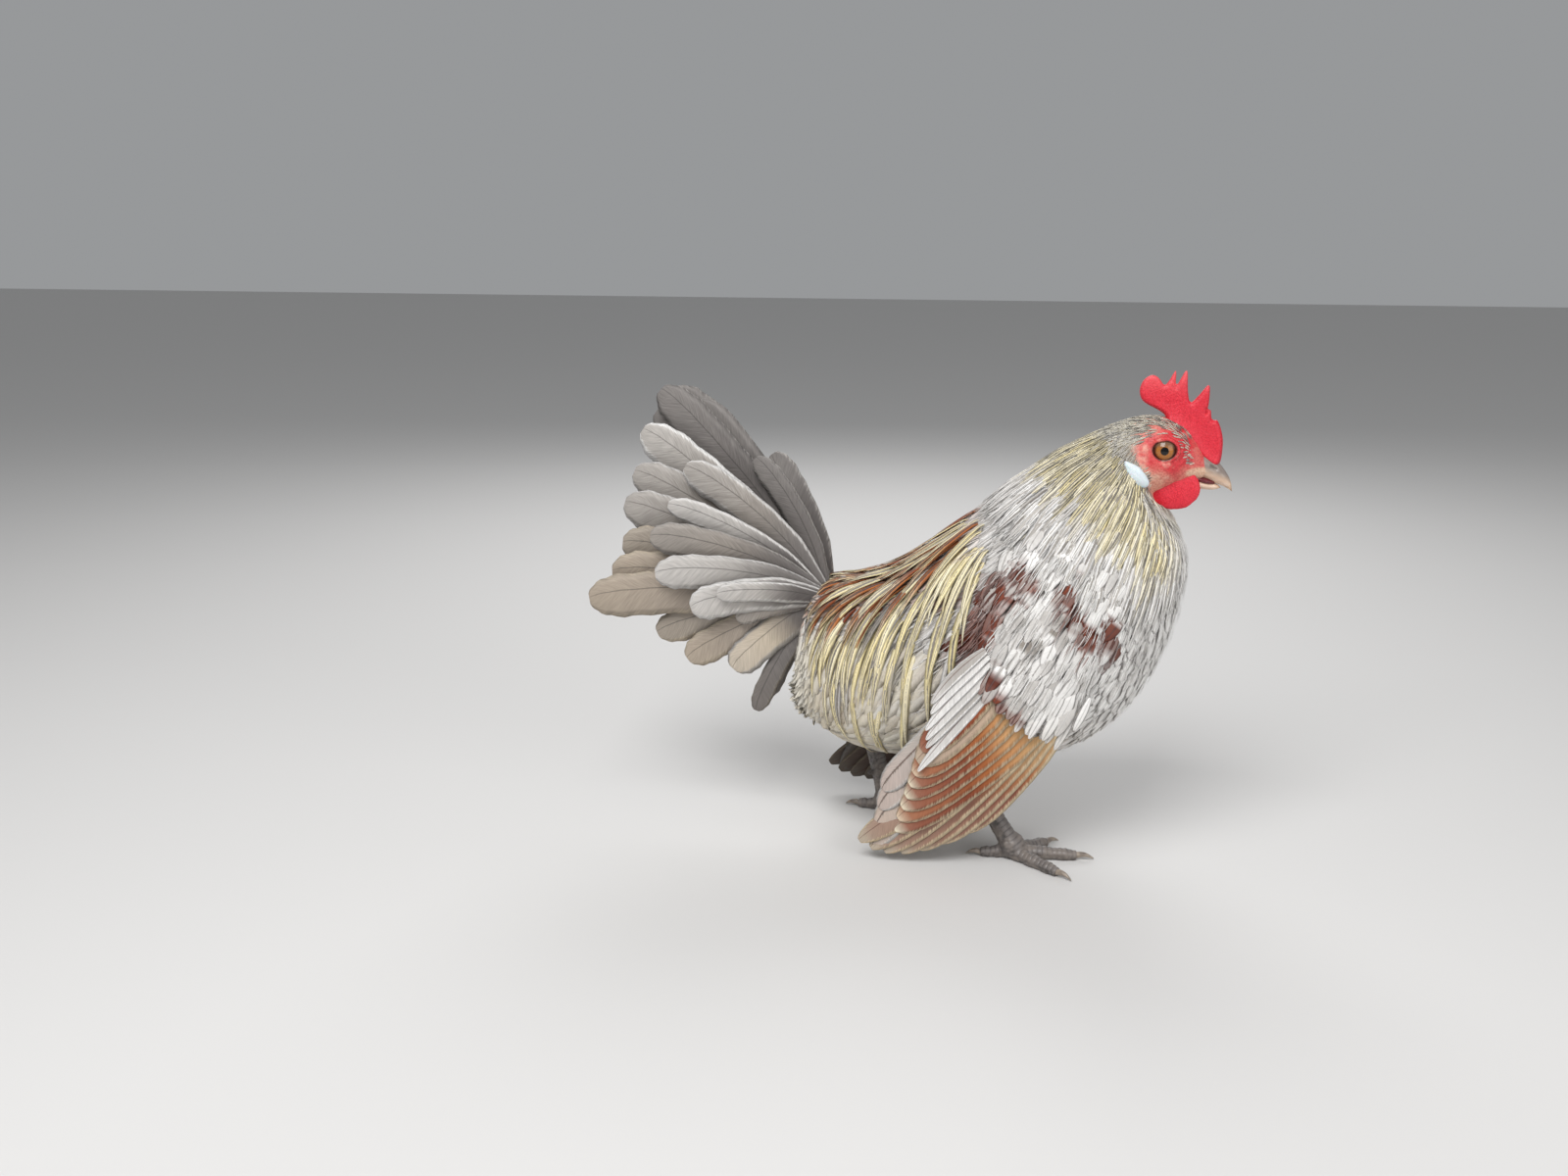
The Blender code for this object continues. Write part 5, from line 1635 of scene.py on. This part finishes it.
def tail_shaft(side_name, angle, length, splay, curl):
    """Points and normals of a tail feather that stands edge up and bends down towards its tip."""
    side = SIDES[side_name]
    angle, splay, curl = (math.radians(value) for value in (angle, splay, curl))
    shares = crowded(TAIL_STATIONS)
    middles = (shares[1:] + shares[:-1]) / 2
    tilt = angle + curl * (0.5 - middles)
    level = np.array((-math.cos(splay), side * math.sin(splay), 0))
    steps = (level * np.cos(tilt)[:, None] + np.array((0, 0, 1)) * np.sin(tilt)[:, None])
    steps *= (length * np.diff(shares))[:, None]
    aside = side * (TAIL_ROOT_INNER + TAIL_ROOT_SPREAD * math.sin(splay))
    start = np.array((TAIL_ROOT[0], aside, TAIL_ROOT[1]))
    points = start + np.concatenate([np.zeros((1, 3)), np.cumsum(steps, 0)])
    tilt = angle + curl * (0.5 - shares)
    width_way = np.stack([np.sin(tilt), 0 * tilt + side * TAIL_LEAN, np.cos(tilt)], 1)
    out = np.cross(width_way, np.gradient(points, axis=0))
    out *= np.sign(out[:, 1:2]) * side
    return points, unit(out)

SICKLES = ((1, 0), (1, 2))
SICKLE_HALF_WIDTH = 5.8
TAIL_WEB = (0.5, 0.84)
WEB_WAVE = 0.05


def tail_colours(web, edge, breadth, source):
    # Slate towards the root: partly the feathers' own colour, partly painted shade where each feather lies
    # under its neighbours.
    pigment = along_feather(TAIL_STATIONS, (0, "slate"), (0.3, "slate"), (0.62, web), (1, web))
    pigment = blend(pigment, "pearl", source.uniform(0, 0.2))
    return pigment, tone("charcoal"), tone(edge), blend(web, edge, 0.35), (0.0, breadth, 0.8)


def make_tail(source):
    """Tiers of feathers fanned and splayed on both sides, and a few that stand in the middle."""
    shafts = Shafts()
    for side_name, side in SIDES.items():
        for t, (tier, half_width, splays, curl) in enumerate(TAIL_TIERS):
            for i, (angle, length, *tones) in enumerate(tier):
                splay = splays[0] + (splays[1] - splays[0]) * (i / (len(tier) - 1))
                if side_name == "left":
                    angle += source.uniform(-2.5, 2.5)
                    length *= source.uniform(0.95, 1)
                points, out = tail_shaft(side_name, angle, length, splay, curl + TAIL_EXTRA_CURL)
                half = SICKLE_HALF_WIDTH if (t, i) in SICKLES else half_width
                widths = rounded_widths(half, run_shares(points), *TAIL_WEB)
                widths *= 1 + WEB_WAVE * np.sin(np.arange(len(widths)) * 1.9 + i) * run_shares(points)
                uv = (0.5 + 0.02 * side + 0.01 * side * splay, 0.5 + angle / 400)
                shafts.add(points, out, widths, uv, tail_colours(*tones, source), source.random())
    first_tier, half_width, _, _ = TAIL_TIERS[0]
    for i, (angle, length) in enumerate(TAIL_MIDDLE):
        points, out = tail_shaft("right", angle, length, 0.5 - i, TAIL_EXTRA_CURL + 6)
        points[:, 1] += TAIL_ROOT_INNER
        widths = rounded_widths(half_width, run_shares(points), *TAIL_WEB)
        colours = tail_colours(*first_tier[0][2:], source)
        shafts.add(points, out, widths, (0.5, 0.6), colours, source.random())
    return shafts


# Head pieces.


def smooth_outline(outline, steps=5):
    """A closed outline with points added on a smooth curve through its own."""
    points = np.array(outline, float)
    near = [np.roll(points, -k, 0)[:, None] for k in (-1, 0, 1, 2)]
    return smooth_between(*near, (np.arange(steps) / steps)[None, :, None]).reshape(-1, 2)


COMB_SKULL = ((98, 106, 113, 118.5, 122.5, 127), (185, 185, 182.5, 177.5, 171.5, 168))
COMB_BLANK = 1.2
GRAIN_RELIEF = 0.16


def outline_distance(points, outline):
    """How far points lie from a closed outline's line."""
    starts, ends = outline, np.roll(outline, -1, 0)
    nearest = np.full(len(points), 1e9)
    for a, b in zip(starts, ends):
        run = b - a
        share = np.clip(((points - a) @ run) / max(run @ run, 1e-9), 0, 1)
        nearest = np.minimum(nearest, np.linalg.norm(points - a - share[:, None] * run, axis=1))
    return nearest


COMB_VOXEL = 0.45
COMB_EDGE = 1.7
COMB_GRAIN = 0.75


def make_comb():
    """The single comb: a blade that thins towards its points, rounded at its edge and grained all over."""
    outline = smooth_outline(COMB_OUTLINE)
    count = len(outline)
    points = [(x, side * COMB_BLANK, z) for side in (-1, 1) for x, z in outline]
    faces = [tuple(range(count)), tuple(range(2 * count - 1, count - 1, -1))]
    faces += [(i, (i + 1) % count, (i + 1) % count + count, i + count) for i in range(count)]
    comb = face_out(mesh_object("comb_skin", points, faces))
    remeshed(comb, COMB_VOXEL, 1)
    points = point_array(comb)
    x, y, z = points.T.copy()
    rise = np.clip((z - COMB_BASE_Z) / (COMB_TOP_Z - COMB_BASE_Z), 0, 1)
    edge = np.clip(outline_distance(points[:, [0, 2]], outline) / COMB_EDGE, 0, 1)
    half = mix(COMB_BASE_THICKNESS, COMB_TIP_THICKNESS, rise) / 2
    half *= np.sqrt(1 - (1 - edge) ** 2) * 0.97 + 0.03
    half += 1.3 * np.exp(-np.maximum(z - np.interp(x, *COMB_SKULL), 0) / 2.4) * edge
    face = np.clip(y / COMB_BLANK, -1, 1)
    points[:, 1] = face * half
    grains = pebbles(points, COMB_GRAIN)
    points[:, 1] += np.sign(face) * (np.abs(face) > 0.6) * GRAIN_RELIEF * (grains - 0.4)
    points[:, 1] += 0.35 * drift(points * (1, 0, 1), 9, 2.2) * rise
    set_points(comb, points)
    store(comb.data, "rise", rise)
    return comb


def make_wattle(side_name):
    """A wattle: a rounded lobe that hangs from the jaw, with grains and shallow folds."""
    side = SIDES[side_name]
    x, y, z = WATTLE_AT
    turn = Matrix.Rotation(side * WATTLE_SPLAY, 3, "X")
    wattle = ball("wattle_skin_" + side_name, (x, side * y, z), WATTLE_SIZE, turn, 48, 64)
    points = point_array(wattle)
    folds = np.sin((points[:, 0] - x) * 0.9 + (points[:, 2] - z) * 0.35) * smooth(z + 8, z, points[:, 2])
    relief = GRAIN_RELIEF * (pebbles(points, 0.8) - 0.4) + 0.12 * folds
    points += vertex_rows(wattle, "normal") * relief[:, None]
    set_points(wattle, points)
    store(wattle.data, "rise", 0.35 * smooth(z - 2, z - 8, points[:, 2]))
    return wattle


def make_earlobe(side_name):
    """An ear lobe: an oval that leans back and narrows towards its lower end."""
    x, y, z = EARLOBE_AT
    centre = np.array((x, SIDES[side_name] * y, z))
    turn = Matrix.Rotation(EARLOBE_TILT, 3, "Y")
    lobe = ball("earlobe_skin_" + side_name, centre, EARLOBE_SIZE, turn, 32, 48)
    turn = np.array(turn)
    normals = vertex_rows(lobe, "normal")
    own = (point_array(lobe) - centre) @ turn
    own[:, 2] *= np.where(own[:, 2] > 0, 0.75, 1.15) * (1 - 0.35 * smooth(0, -EARLOBE_SIZE[0], own[:, 0]))
    points = own @ turn.T + centre
    points += normals * (0.12 * drift(points, 1.6, 4.0))[:, None]
    set_points(lobe, points)
    return lobe


MOUTH_TILT = math.radians(14)
NOSTRIL_TILT = 0.6
NOSTRIL_SIZE = (1.8, 0.75)


def make_beak_half(name, sections, tip, nostrils=False):
    """Half of the beak, lofted smooth, with a slit nostril on each side of the upper one."""
    places = np.linspace(0, len(sections) - 1, 34)
    turns = 2 * np.pi * (np.arange(36) + 0.5) / 36
    half = closed_grid(name, oval_points(curve_rows(sections, places), turns), (tip[0], 0, tip[1]))
    points = point_array(half)
    if nostrils:
        cos, sin = math.cos(NOSTRIL_TILT), math.sin(NOSTRIL_TILT)
        x, z = points[:, 0] - NOSTRIL_AT[0], points[:, 2] - NOSTRIL_AT[1]
        away = np.hypot((x * cos - z * sin) / NOSTRIL_SIZE[0], (x * sin + z * cos) / NOSTRIL_SIZE[1])
        points[:, 1] *= 1 - 0.35 * (1 - smooth(0.6, 1.2, away)) + 0.07 * np.exp(-((away - 1.5) / 0.4) ** 2)
    set_points(half, points)
    culmen = np.clip((points[:, 2] - np.interp(points[:, 0], (119, 134.7), (163, 156))) / 7, 0, 1)
    store(half.data, "culmen", culmen)
    return half


SCUTE_HEIGHT = 0.34
SCALE_HEIGHT = 0.22


def beak_material():
    """Pale horn with streaks along the beak and a dark ridge."""
    material, tree = new_material("beak_horn", Roughness=0.3, Coat_Weight=0.25, Coat_Roughness=0.25)
    stretched = add(tree, "ShaderNodeMapping", {
        "Vector": object_place(tree), "Rotation": (0, math.radians(35), 0), "Scale": (90, 700, 700)})
    streaks = grain(tree, stretched, 1.0)
    colour = layered(tree, "beak_horn", (streaks, 0.35, 0.7, 1, "beak_pale"),
                     (attribute(tree, "culmen", "Fac"), 0.3, 0.85, 0.85, "beak_ridge"))
    return painted(material, colour, streaks, 0.25, 0.15)


def eye_material():
    """Amber iris with fine spokes, a round pupil, a dark ring where the white would be, and painted shade
    over its upper part.
    """
    material, tree = new_material(
        "eye_amber", Roughness=0.2, Coat_Weight=0.7, Coat_Roughness=0.02, Specular_IOR_Level=0.1)
    centred = add(tree, "ShaderNodeMapping", {
        "Vector": object_place(tree), "Location": (-(EYE_AT[0] - BOX_MIDDLE_X) * MM, 0, -EYE_AT[2] * MM)},
        vector_type="POINT")
    parts = add(tree, "ShaderNodeSeparateXYZ", {0: centred}).outputs
    x, z = (times(tree, parts[k], 1 / MM) for k in (0, 2))
    far = maths(tree, "SQRT", plus(tree, times(tree, x, x), times(tree, z, z)))
    turn = times(tree, maths(tree, "ARCTAN2", z, x), 6)
    spokes = grain(tree, add(tree, "ShaderNodeCombineXYZ", {0: turn, 1: times(tree, far, 0.6)}), 2.2)
    # The iris darkens towards its top (iris_shade): painted shade under the upper lid.
    iris = layered(tree, overlay(tree, spokes, "iris_brown", "iris_amber"),
                   (far, 2.9, 3.8, 1, "iris_rim"), (z, 0.6, 3.0, 1, "iris_shade"))
    return painted(material, overlay(tree, ramp(tree, far, 1.5, 1.75), "pupil", iris))


# Legs.


def shank_line(side_name):
    """The shank's two ends, the upper one a little above the hock."""
    hock, foot = np.array(HOCK[side_name], float), np.array(FOOT_AT[side_name], float)
    return hock + (hock - foot) * 0.12, foot


def toe_line(side_name, heading, length, end_radius):
    """A toe's two ends, and the way it points."""
    hub = FOOT_AT[side_name]
    turn = math.radians(heading) * SIDES[side_name]
    way = np.array((math.cos(turn), math.sin(turn), 0))
    start = np.array((hub[0], hub[1], TOE_AXIS_Z))
    end = start + way * length
    end[2] = end_radius - SOLE_SINK
    return start, end, way


LEG_VOXEL = 0.42
FRONT_SCUTE = 2.3
TOE_SCUTE = 2.1
SIDE_SCALE = 1.25


def scute_height(along, turn, radius, period):
    """Raised plates down the front, their lower edges standing out, and small round scales behind."""
    share = (along / period) % 1
    front = smooth(1.45, 1.2, np.abs(turn))
    plate = SCUTE_HEIGHT * share ** 0.7 * (1 - smooth(0.9, 1.0, share))
    around = np.stack([along / SIDE_SCALE, turn * radius / SIDE_SCALE, 0 * along], 1)
    scales = np.array([noise.voronoi(Vector(p))[0][0] for p in around])
    return front * plate + (1 - front) * SCALE_HEIGHT * (1 - 1.4 * scales)


def leg_parts(side_name):
    """Ball of the foot, spur and toes, and the axis of the shank and each toe: its ends, radius, scutes and
    front."""
    start, foot = shank_line(side_name)
    axes = [(start, foot, 4.0, FRONT_SCUTE, np.array((1.0, 0, 0)))]
    parts = [ball("ball", foot, (FOOT_RADIUS,) * 3, rings=16, sides=24)]
    hock = np.array(HOCK[side_name], float)
    inward = unit(np.array((-0.8, -0.6 * SIDES[side_name], 0.05)))
    steps = np.linspace(0, 1, 5)[:, None]
    spur = hock + (foot - hock) * SPUR_DOWN_SHANK + inward * (1.5 + (SPUR_LENGTH + 0.5) * steps)
    parts.append(tube("spur", spur, SPUR_RADIUS * (1 - 0.75 * steps[:, 0] ** 1.5), 16))
    steps = np.linspace(0, 1, 13)
    for heading, length, root_radius, end_radius in TOES.values():
        toe_start, toe_end, _ = toe_line(side_name, heading, length, end_radius)
        pads = 0.25 * np.sin(steps * 3 * 2 * math.pi - 1.2)
        radii = root_radius + (end_radius - root_radius) * steps + pads
        parts.append(tube("toe", toe_start + (toe_end - toe_start) * steps[:, None], radii, 20))
        axes.append((toe_start, toe_end, (root_radius + end_radius) / 2, TOE_SCUTE, np.array((0, 0, 1.0))))
    return parts, axes


def scute_relief(points, axes):
    """Height of the scutes at points of the leg, by the nearest of its axes."""
    gap = np.full(len(points), 1e9)
    height = np.zeros(len(points))
    for a, b, radius, period, front in axes:
        run = b - a
        long = np.linalg.norm(run)
        share = np.clip((points - a) @ run / long ** 2, -0.1, 1.1)
        off = points - a - share[:, None] * run
        distance = np.linalg.norm(off, axis=1) - radius
        ahead = unit(run)
        front = unit(front - ahead * (front @ ahead))
        turn = np.arctan2(off @ np.cross(ahead, front), off @ front)
        better = distance < gap
        height[better] = scute_height(share[better] * long, turn[better], radius, period)
        gap[better] = distance[better]
    return height


def make_leg(side_name):
    """Shank, spur, ball and toes as one skin of scutes, flat under its soles."""
    start, foot = shank_line(side_name)
    shares = np.linspace(0, 1, 15)[:, None]
    leg = tube("leg_skin_" + side_name, start + (foot - start) * shares,
               np.interp(shares[:, 0] * 4, range(5), SHANK_RADII), 28)
    parts, axes = leg_parts(side_name)
    joined(leg, parts)
    remeshed(leg, LEG_VOXEL, 3)
    points = point_array(leg)
    height = scute_relief(points, axes)
    points += vertex_rows(leg, "normal") * height[:, None]
    points[:, 2] = np.maximum(points[:, 2], 0)
    set_points(leg, points)
    store(leg.data, "raise", height / SCUTE_HEIGHT)
    return leg


def make_claws(side_name):
    """The four claws of a foot: curved horn that tapers to its point."""
    parts = []
    for toe_name, (heading, length, _, radius) in TOES.items():
        _, end, way = toe_line(side_name, heading, length, radius)
        long = HIND_CLAW_LENGTH if toe_name == "hind" else CLAW_LENGTH
        shares = np.linspace(0, 0.97, 15)
        path = end + way * (long * shares - 0.8)[:, None]
        base_z = radius - SOLE_SINK
        path[:, 2] = base_z + 0.9 * np.sin(np.pi * shares) - (base_z - CLAW_TIP_Z) * shares ** 2
        radii = radius * CLAW_BASE_SHARE * (1 - shares ** 1.4) ** 0.8 + 0.08
        parts.append(tube("claws_" + side_name, path, radii, 16))
    claws = joined(parts[0], parts[1:])
    points = point_array(claws)
    points[:, 2] = np.maximum(points[:, 2], 0.02)
    set_points(claws, points)
    claws.name = "claws_" + side_name
    return claws


def claw_material():
    """Dark horn with fine streaks."""
    material, tree = new_material("claw_horn", Roughness=0.35, Coat_Weight=0.2, Coat_Roughness=0.3)
    streaks = grain(tree, object_place(tree), 500)
    colour = layered(tree, "claw_dark", (streaks, 0.3, 0.7, 1, "claw_horn"))
    return painted(material, colour, streaks, 0.2, 0.1)


# Camera, floor and light.


def make_camera():
    """The photograph's viewpoint."""
    cos, sin = math.cos(CAMERA_AZIMUTH), math.sin(CAMERA_AZIMUTH)
    level = math.cos(CAMERA_ELEVATION)
    back = Vector((sin * level, -cos * level, math.sin(CAMERA_ELEVATION)))
    right = Vector((cos, sin, 0))
    turn = Matrix((right, right.cross(-back), back)).transposed()
    lens = bpy.data.cameras.new("camera")
    lens.lens = CAMERA_LENS
    lens.sensor_width = CAMERA_SENSOR
    lens.sensor_fit = "HORIZONTAL"
    lens.clip_start, lens.clip_end = 0.01, 20
    camera = linked("camera", lens)
    camera.matrix_world = Matrix.Translation(at(CAMERA_AT[0] - BOX_MIDDLE_X, *CAMERA_AT[1:])) @ turn.to_4x4()
    bpy.context.scene.camera = camera


FLOOR_REACH = 4000
LAMP_SIZE = 0.6
LAMPS = {"key": ((-150, -650, 900), 10), "fill": ((700, -500, 400), 2.2), "rim": ((-100, 700, 700), 4)}
LIT_POINT = (20, 0, 100)


def make_stage():
    """A pale floor under a plain sky, and three soft lamps."""
    corners = [(x * FLOOR_REACH, y * FLOOR_REACH, 0) for x, y in ((-1, -1), (1, -1), (1, 1), (-1, 1))]
    floor = mesh_object("floor", corners, [(0, 1, 2, 3)])
    material, _ = new_material("pale_floor", Roughness=0.85, Base_Color=(0.62, 0.61, 0.6, 1))
    floor.data.materials.append(material)
    world = bpy.data.worlds.new("studio")
    world.use_nodes = True
    background = world.node_tree.nodes["Background"].inputs
    background["Color"].default_value = (0.86, 0.88, 0.9, 1)
    background["Strength"].default_value = 0.36
    bpy.context.scene.world = world
    bpy.context.scene.view_settings.view_transform = "Standard"
    for name, (place, power) in LAMPS.items():
        light = bpy.data.lights.new(name, "AREA")
        light.size = LAMP_SIZE
        light.energy = power
        lamp = linked(name, light)
        lamp.location = at(*place)
        lamp.rotation_euler = (at(*LIT_POINT) - lamp.location).to_track_quat("-Z", "Y").to_euler()


# Barb contrast, shaft tone, how much of the shaft shows, and relief of each kind of vane.
VANE_FINISHES = {
    "plumage_silver": (0.2, "slate", 0.4, 0.35),
    "down_beige": (0.2, "white", 0.1, 0.35),
    "hackle_straw": (0.18, "cream", 0.1, 0.25),
    "flight_feathers": (0.25, "umber", 0.6, 0.5),
    "tail_slate": (0.38, "charcoal", 0.5, 0.7),
}
# Blank's breadth, spacing in metres, rise and seed of each coat of small feathers.
COATS = {
    "breast": (0.28, 0.0022, 0.1, 3),
    "flanks": (0.28, 0.0026, 0.09, 4),
    "head": (0.1, 0.0007, 0.14, 5),
}
FLUFF_VANES = 1300
FLUFF_WISPS = 3200


def make_plumage(skin, source):
    """The coats of small feathers, and every feather that stands on a guide line of its own."""
    markings, vane_maker, coat_maker = vane_effect(), vane_tree(), coat_tree()
    plumage, down, hackle, flight, rectrix = (
        feather_material(name, markings, *finish) for name, finish in VANE_FINISHES.items())
    narrow = section_object("narrow_section", 3, 0.16, 0.07)
    broad = section_object("broad_section", 7, 0.14, 0.03)
    flat = section_object("flat_section", 7, 0.09, 0.03, 0.3)
    surface = surface_in_mm(skin)
    for part, (breadth, spacing, rise, seed) in COATS.items():
        blank = feather_blank(breadth)
        coat = grown_by(coat_maker, "plumage_" + part, skin, Feather=blank, Spacing=spacing,
                        Cover="cover_" + part, Rise=rise, Seed=seed, Finish=plumage)
        settle(coat, "plumage")
        bpy.data.objects.remove(blank)

    def stand(name, shafts, section, finish, slot_name, *nodes):
        settle(vanes(name, shafts, vane_maker, section, finish), slot_name, *nodes)

    stand("hackle_neck", make_neck_hackles(surface, source), narrow, hackle, "hackle")
    stand("hackle_saddle", make_saddle_hackles(surface, source), narrow, hackle, "hackle")
    stand("fluff_vanes", make_fluff(False, FLUFF_VANES, surface, source), narrow, down, "plumage")
    stand("fluff_wisps", make_fluff(True, FLUFF_WISPS, surface, source), narrow, down, "plumage")
    stand("tail_feathers", make_tail(source), flat, rectrix, "tail", "tail")
    for side_name in SIDES:
        wing, coverts = make_wing(side_name, source), make_coverts(surface, side_name, source)
        stand("wing_feathers_" + side_name, wing, flat, flight, "wing", "wing_" + side_name)
        stand("coverts_" + side_name, coverts, broad, plumage, "wing")
    stand("plumage_wisps", make_wisps(skin, surface, source), narrow, down, "plumage")
    for helper in (narrow, broad, flat):
        bpy.data.objects.remove(helper)


def make_bare_parts(effect):
    """Comb, wattles, ear lobes, eyes, legs, claws, beak and mouth."""
    red, white, slate, dark = (bare_material(name, effect) for name in BARE_PARTS)
    amber, horn, nail = eye_material(), beak_material(), claw_material()
    settle(make_comb(), "comb", "comb", material=red)
    x, y, z = EYE_AT
    upright = Matrix.Rotation(math.pi / 2, 3, "X")
    for side_name, side in SIDES.items():
        settle(make_wattle(side_name), "comb", "wattle_" + side_name, material=red)
        settle(make_earlobe(side_name), "earlobe", "earlobe_" + side_name, material=white)
        eye = ball("eyeball_" + side_name, (x, side * y, z), (EYE_RADIUS,) * 3, upright, 32, 48)
        settle(eye, "eye", "eye_" + side_name, material=amber)
        settle(make_leg(side_name), "leg", "shank_" + side_name, "foot_" + side_name, material=slate)
        claws = [f"claw_{toe}_{side_name}" for toe in TOES]
        settle(make_claws(side_name), "claw", *claws, material=nail)
    upper = make_beak_half("beak_horn_upper", UPPER_BEAK, UPPER_BEAK_TIP, True)
    settle(upper, "beak", "beak_upper", material=horn)
    lower = make_beak_half("beak_horn_lower", LOWER_BEAK, LOWER_BEAK_TIP)
    settle(lower, "beak", "beak_lower", material=horn)
    mouth = ball("mouth", MOUTH_AT, MOUTH_SIZE, Matrix.Rotation(MOUTH_TILT, 3, "Y"))
    settle(mouth, "face", material=dark)


def main():
    make_camera()
    make_stage()
    skin_grain = pebble_effect()
    skin = make_skin()
    make_plumage(skin, random.Random(SEED))
    settle(skin, "face", "torso", "neck", "head", "thigh_left", "thigh_right",
           material=skin_material(skin_grain))
    make_bare_parts(skin_grain)


main()
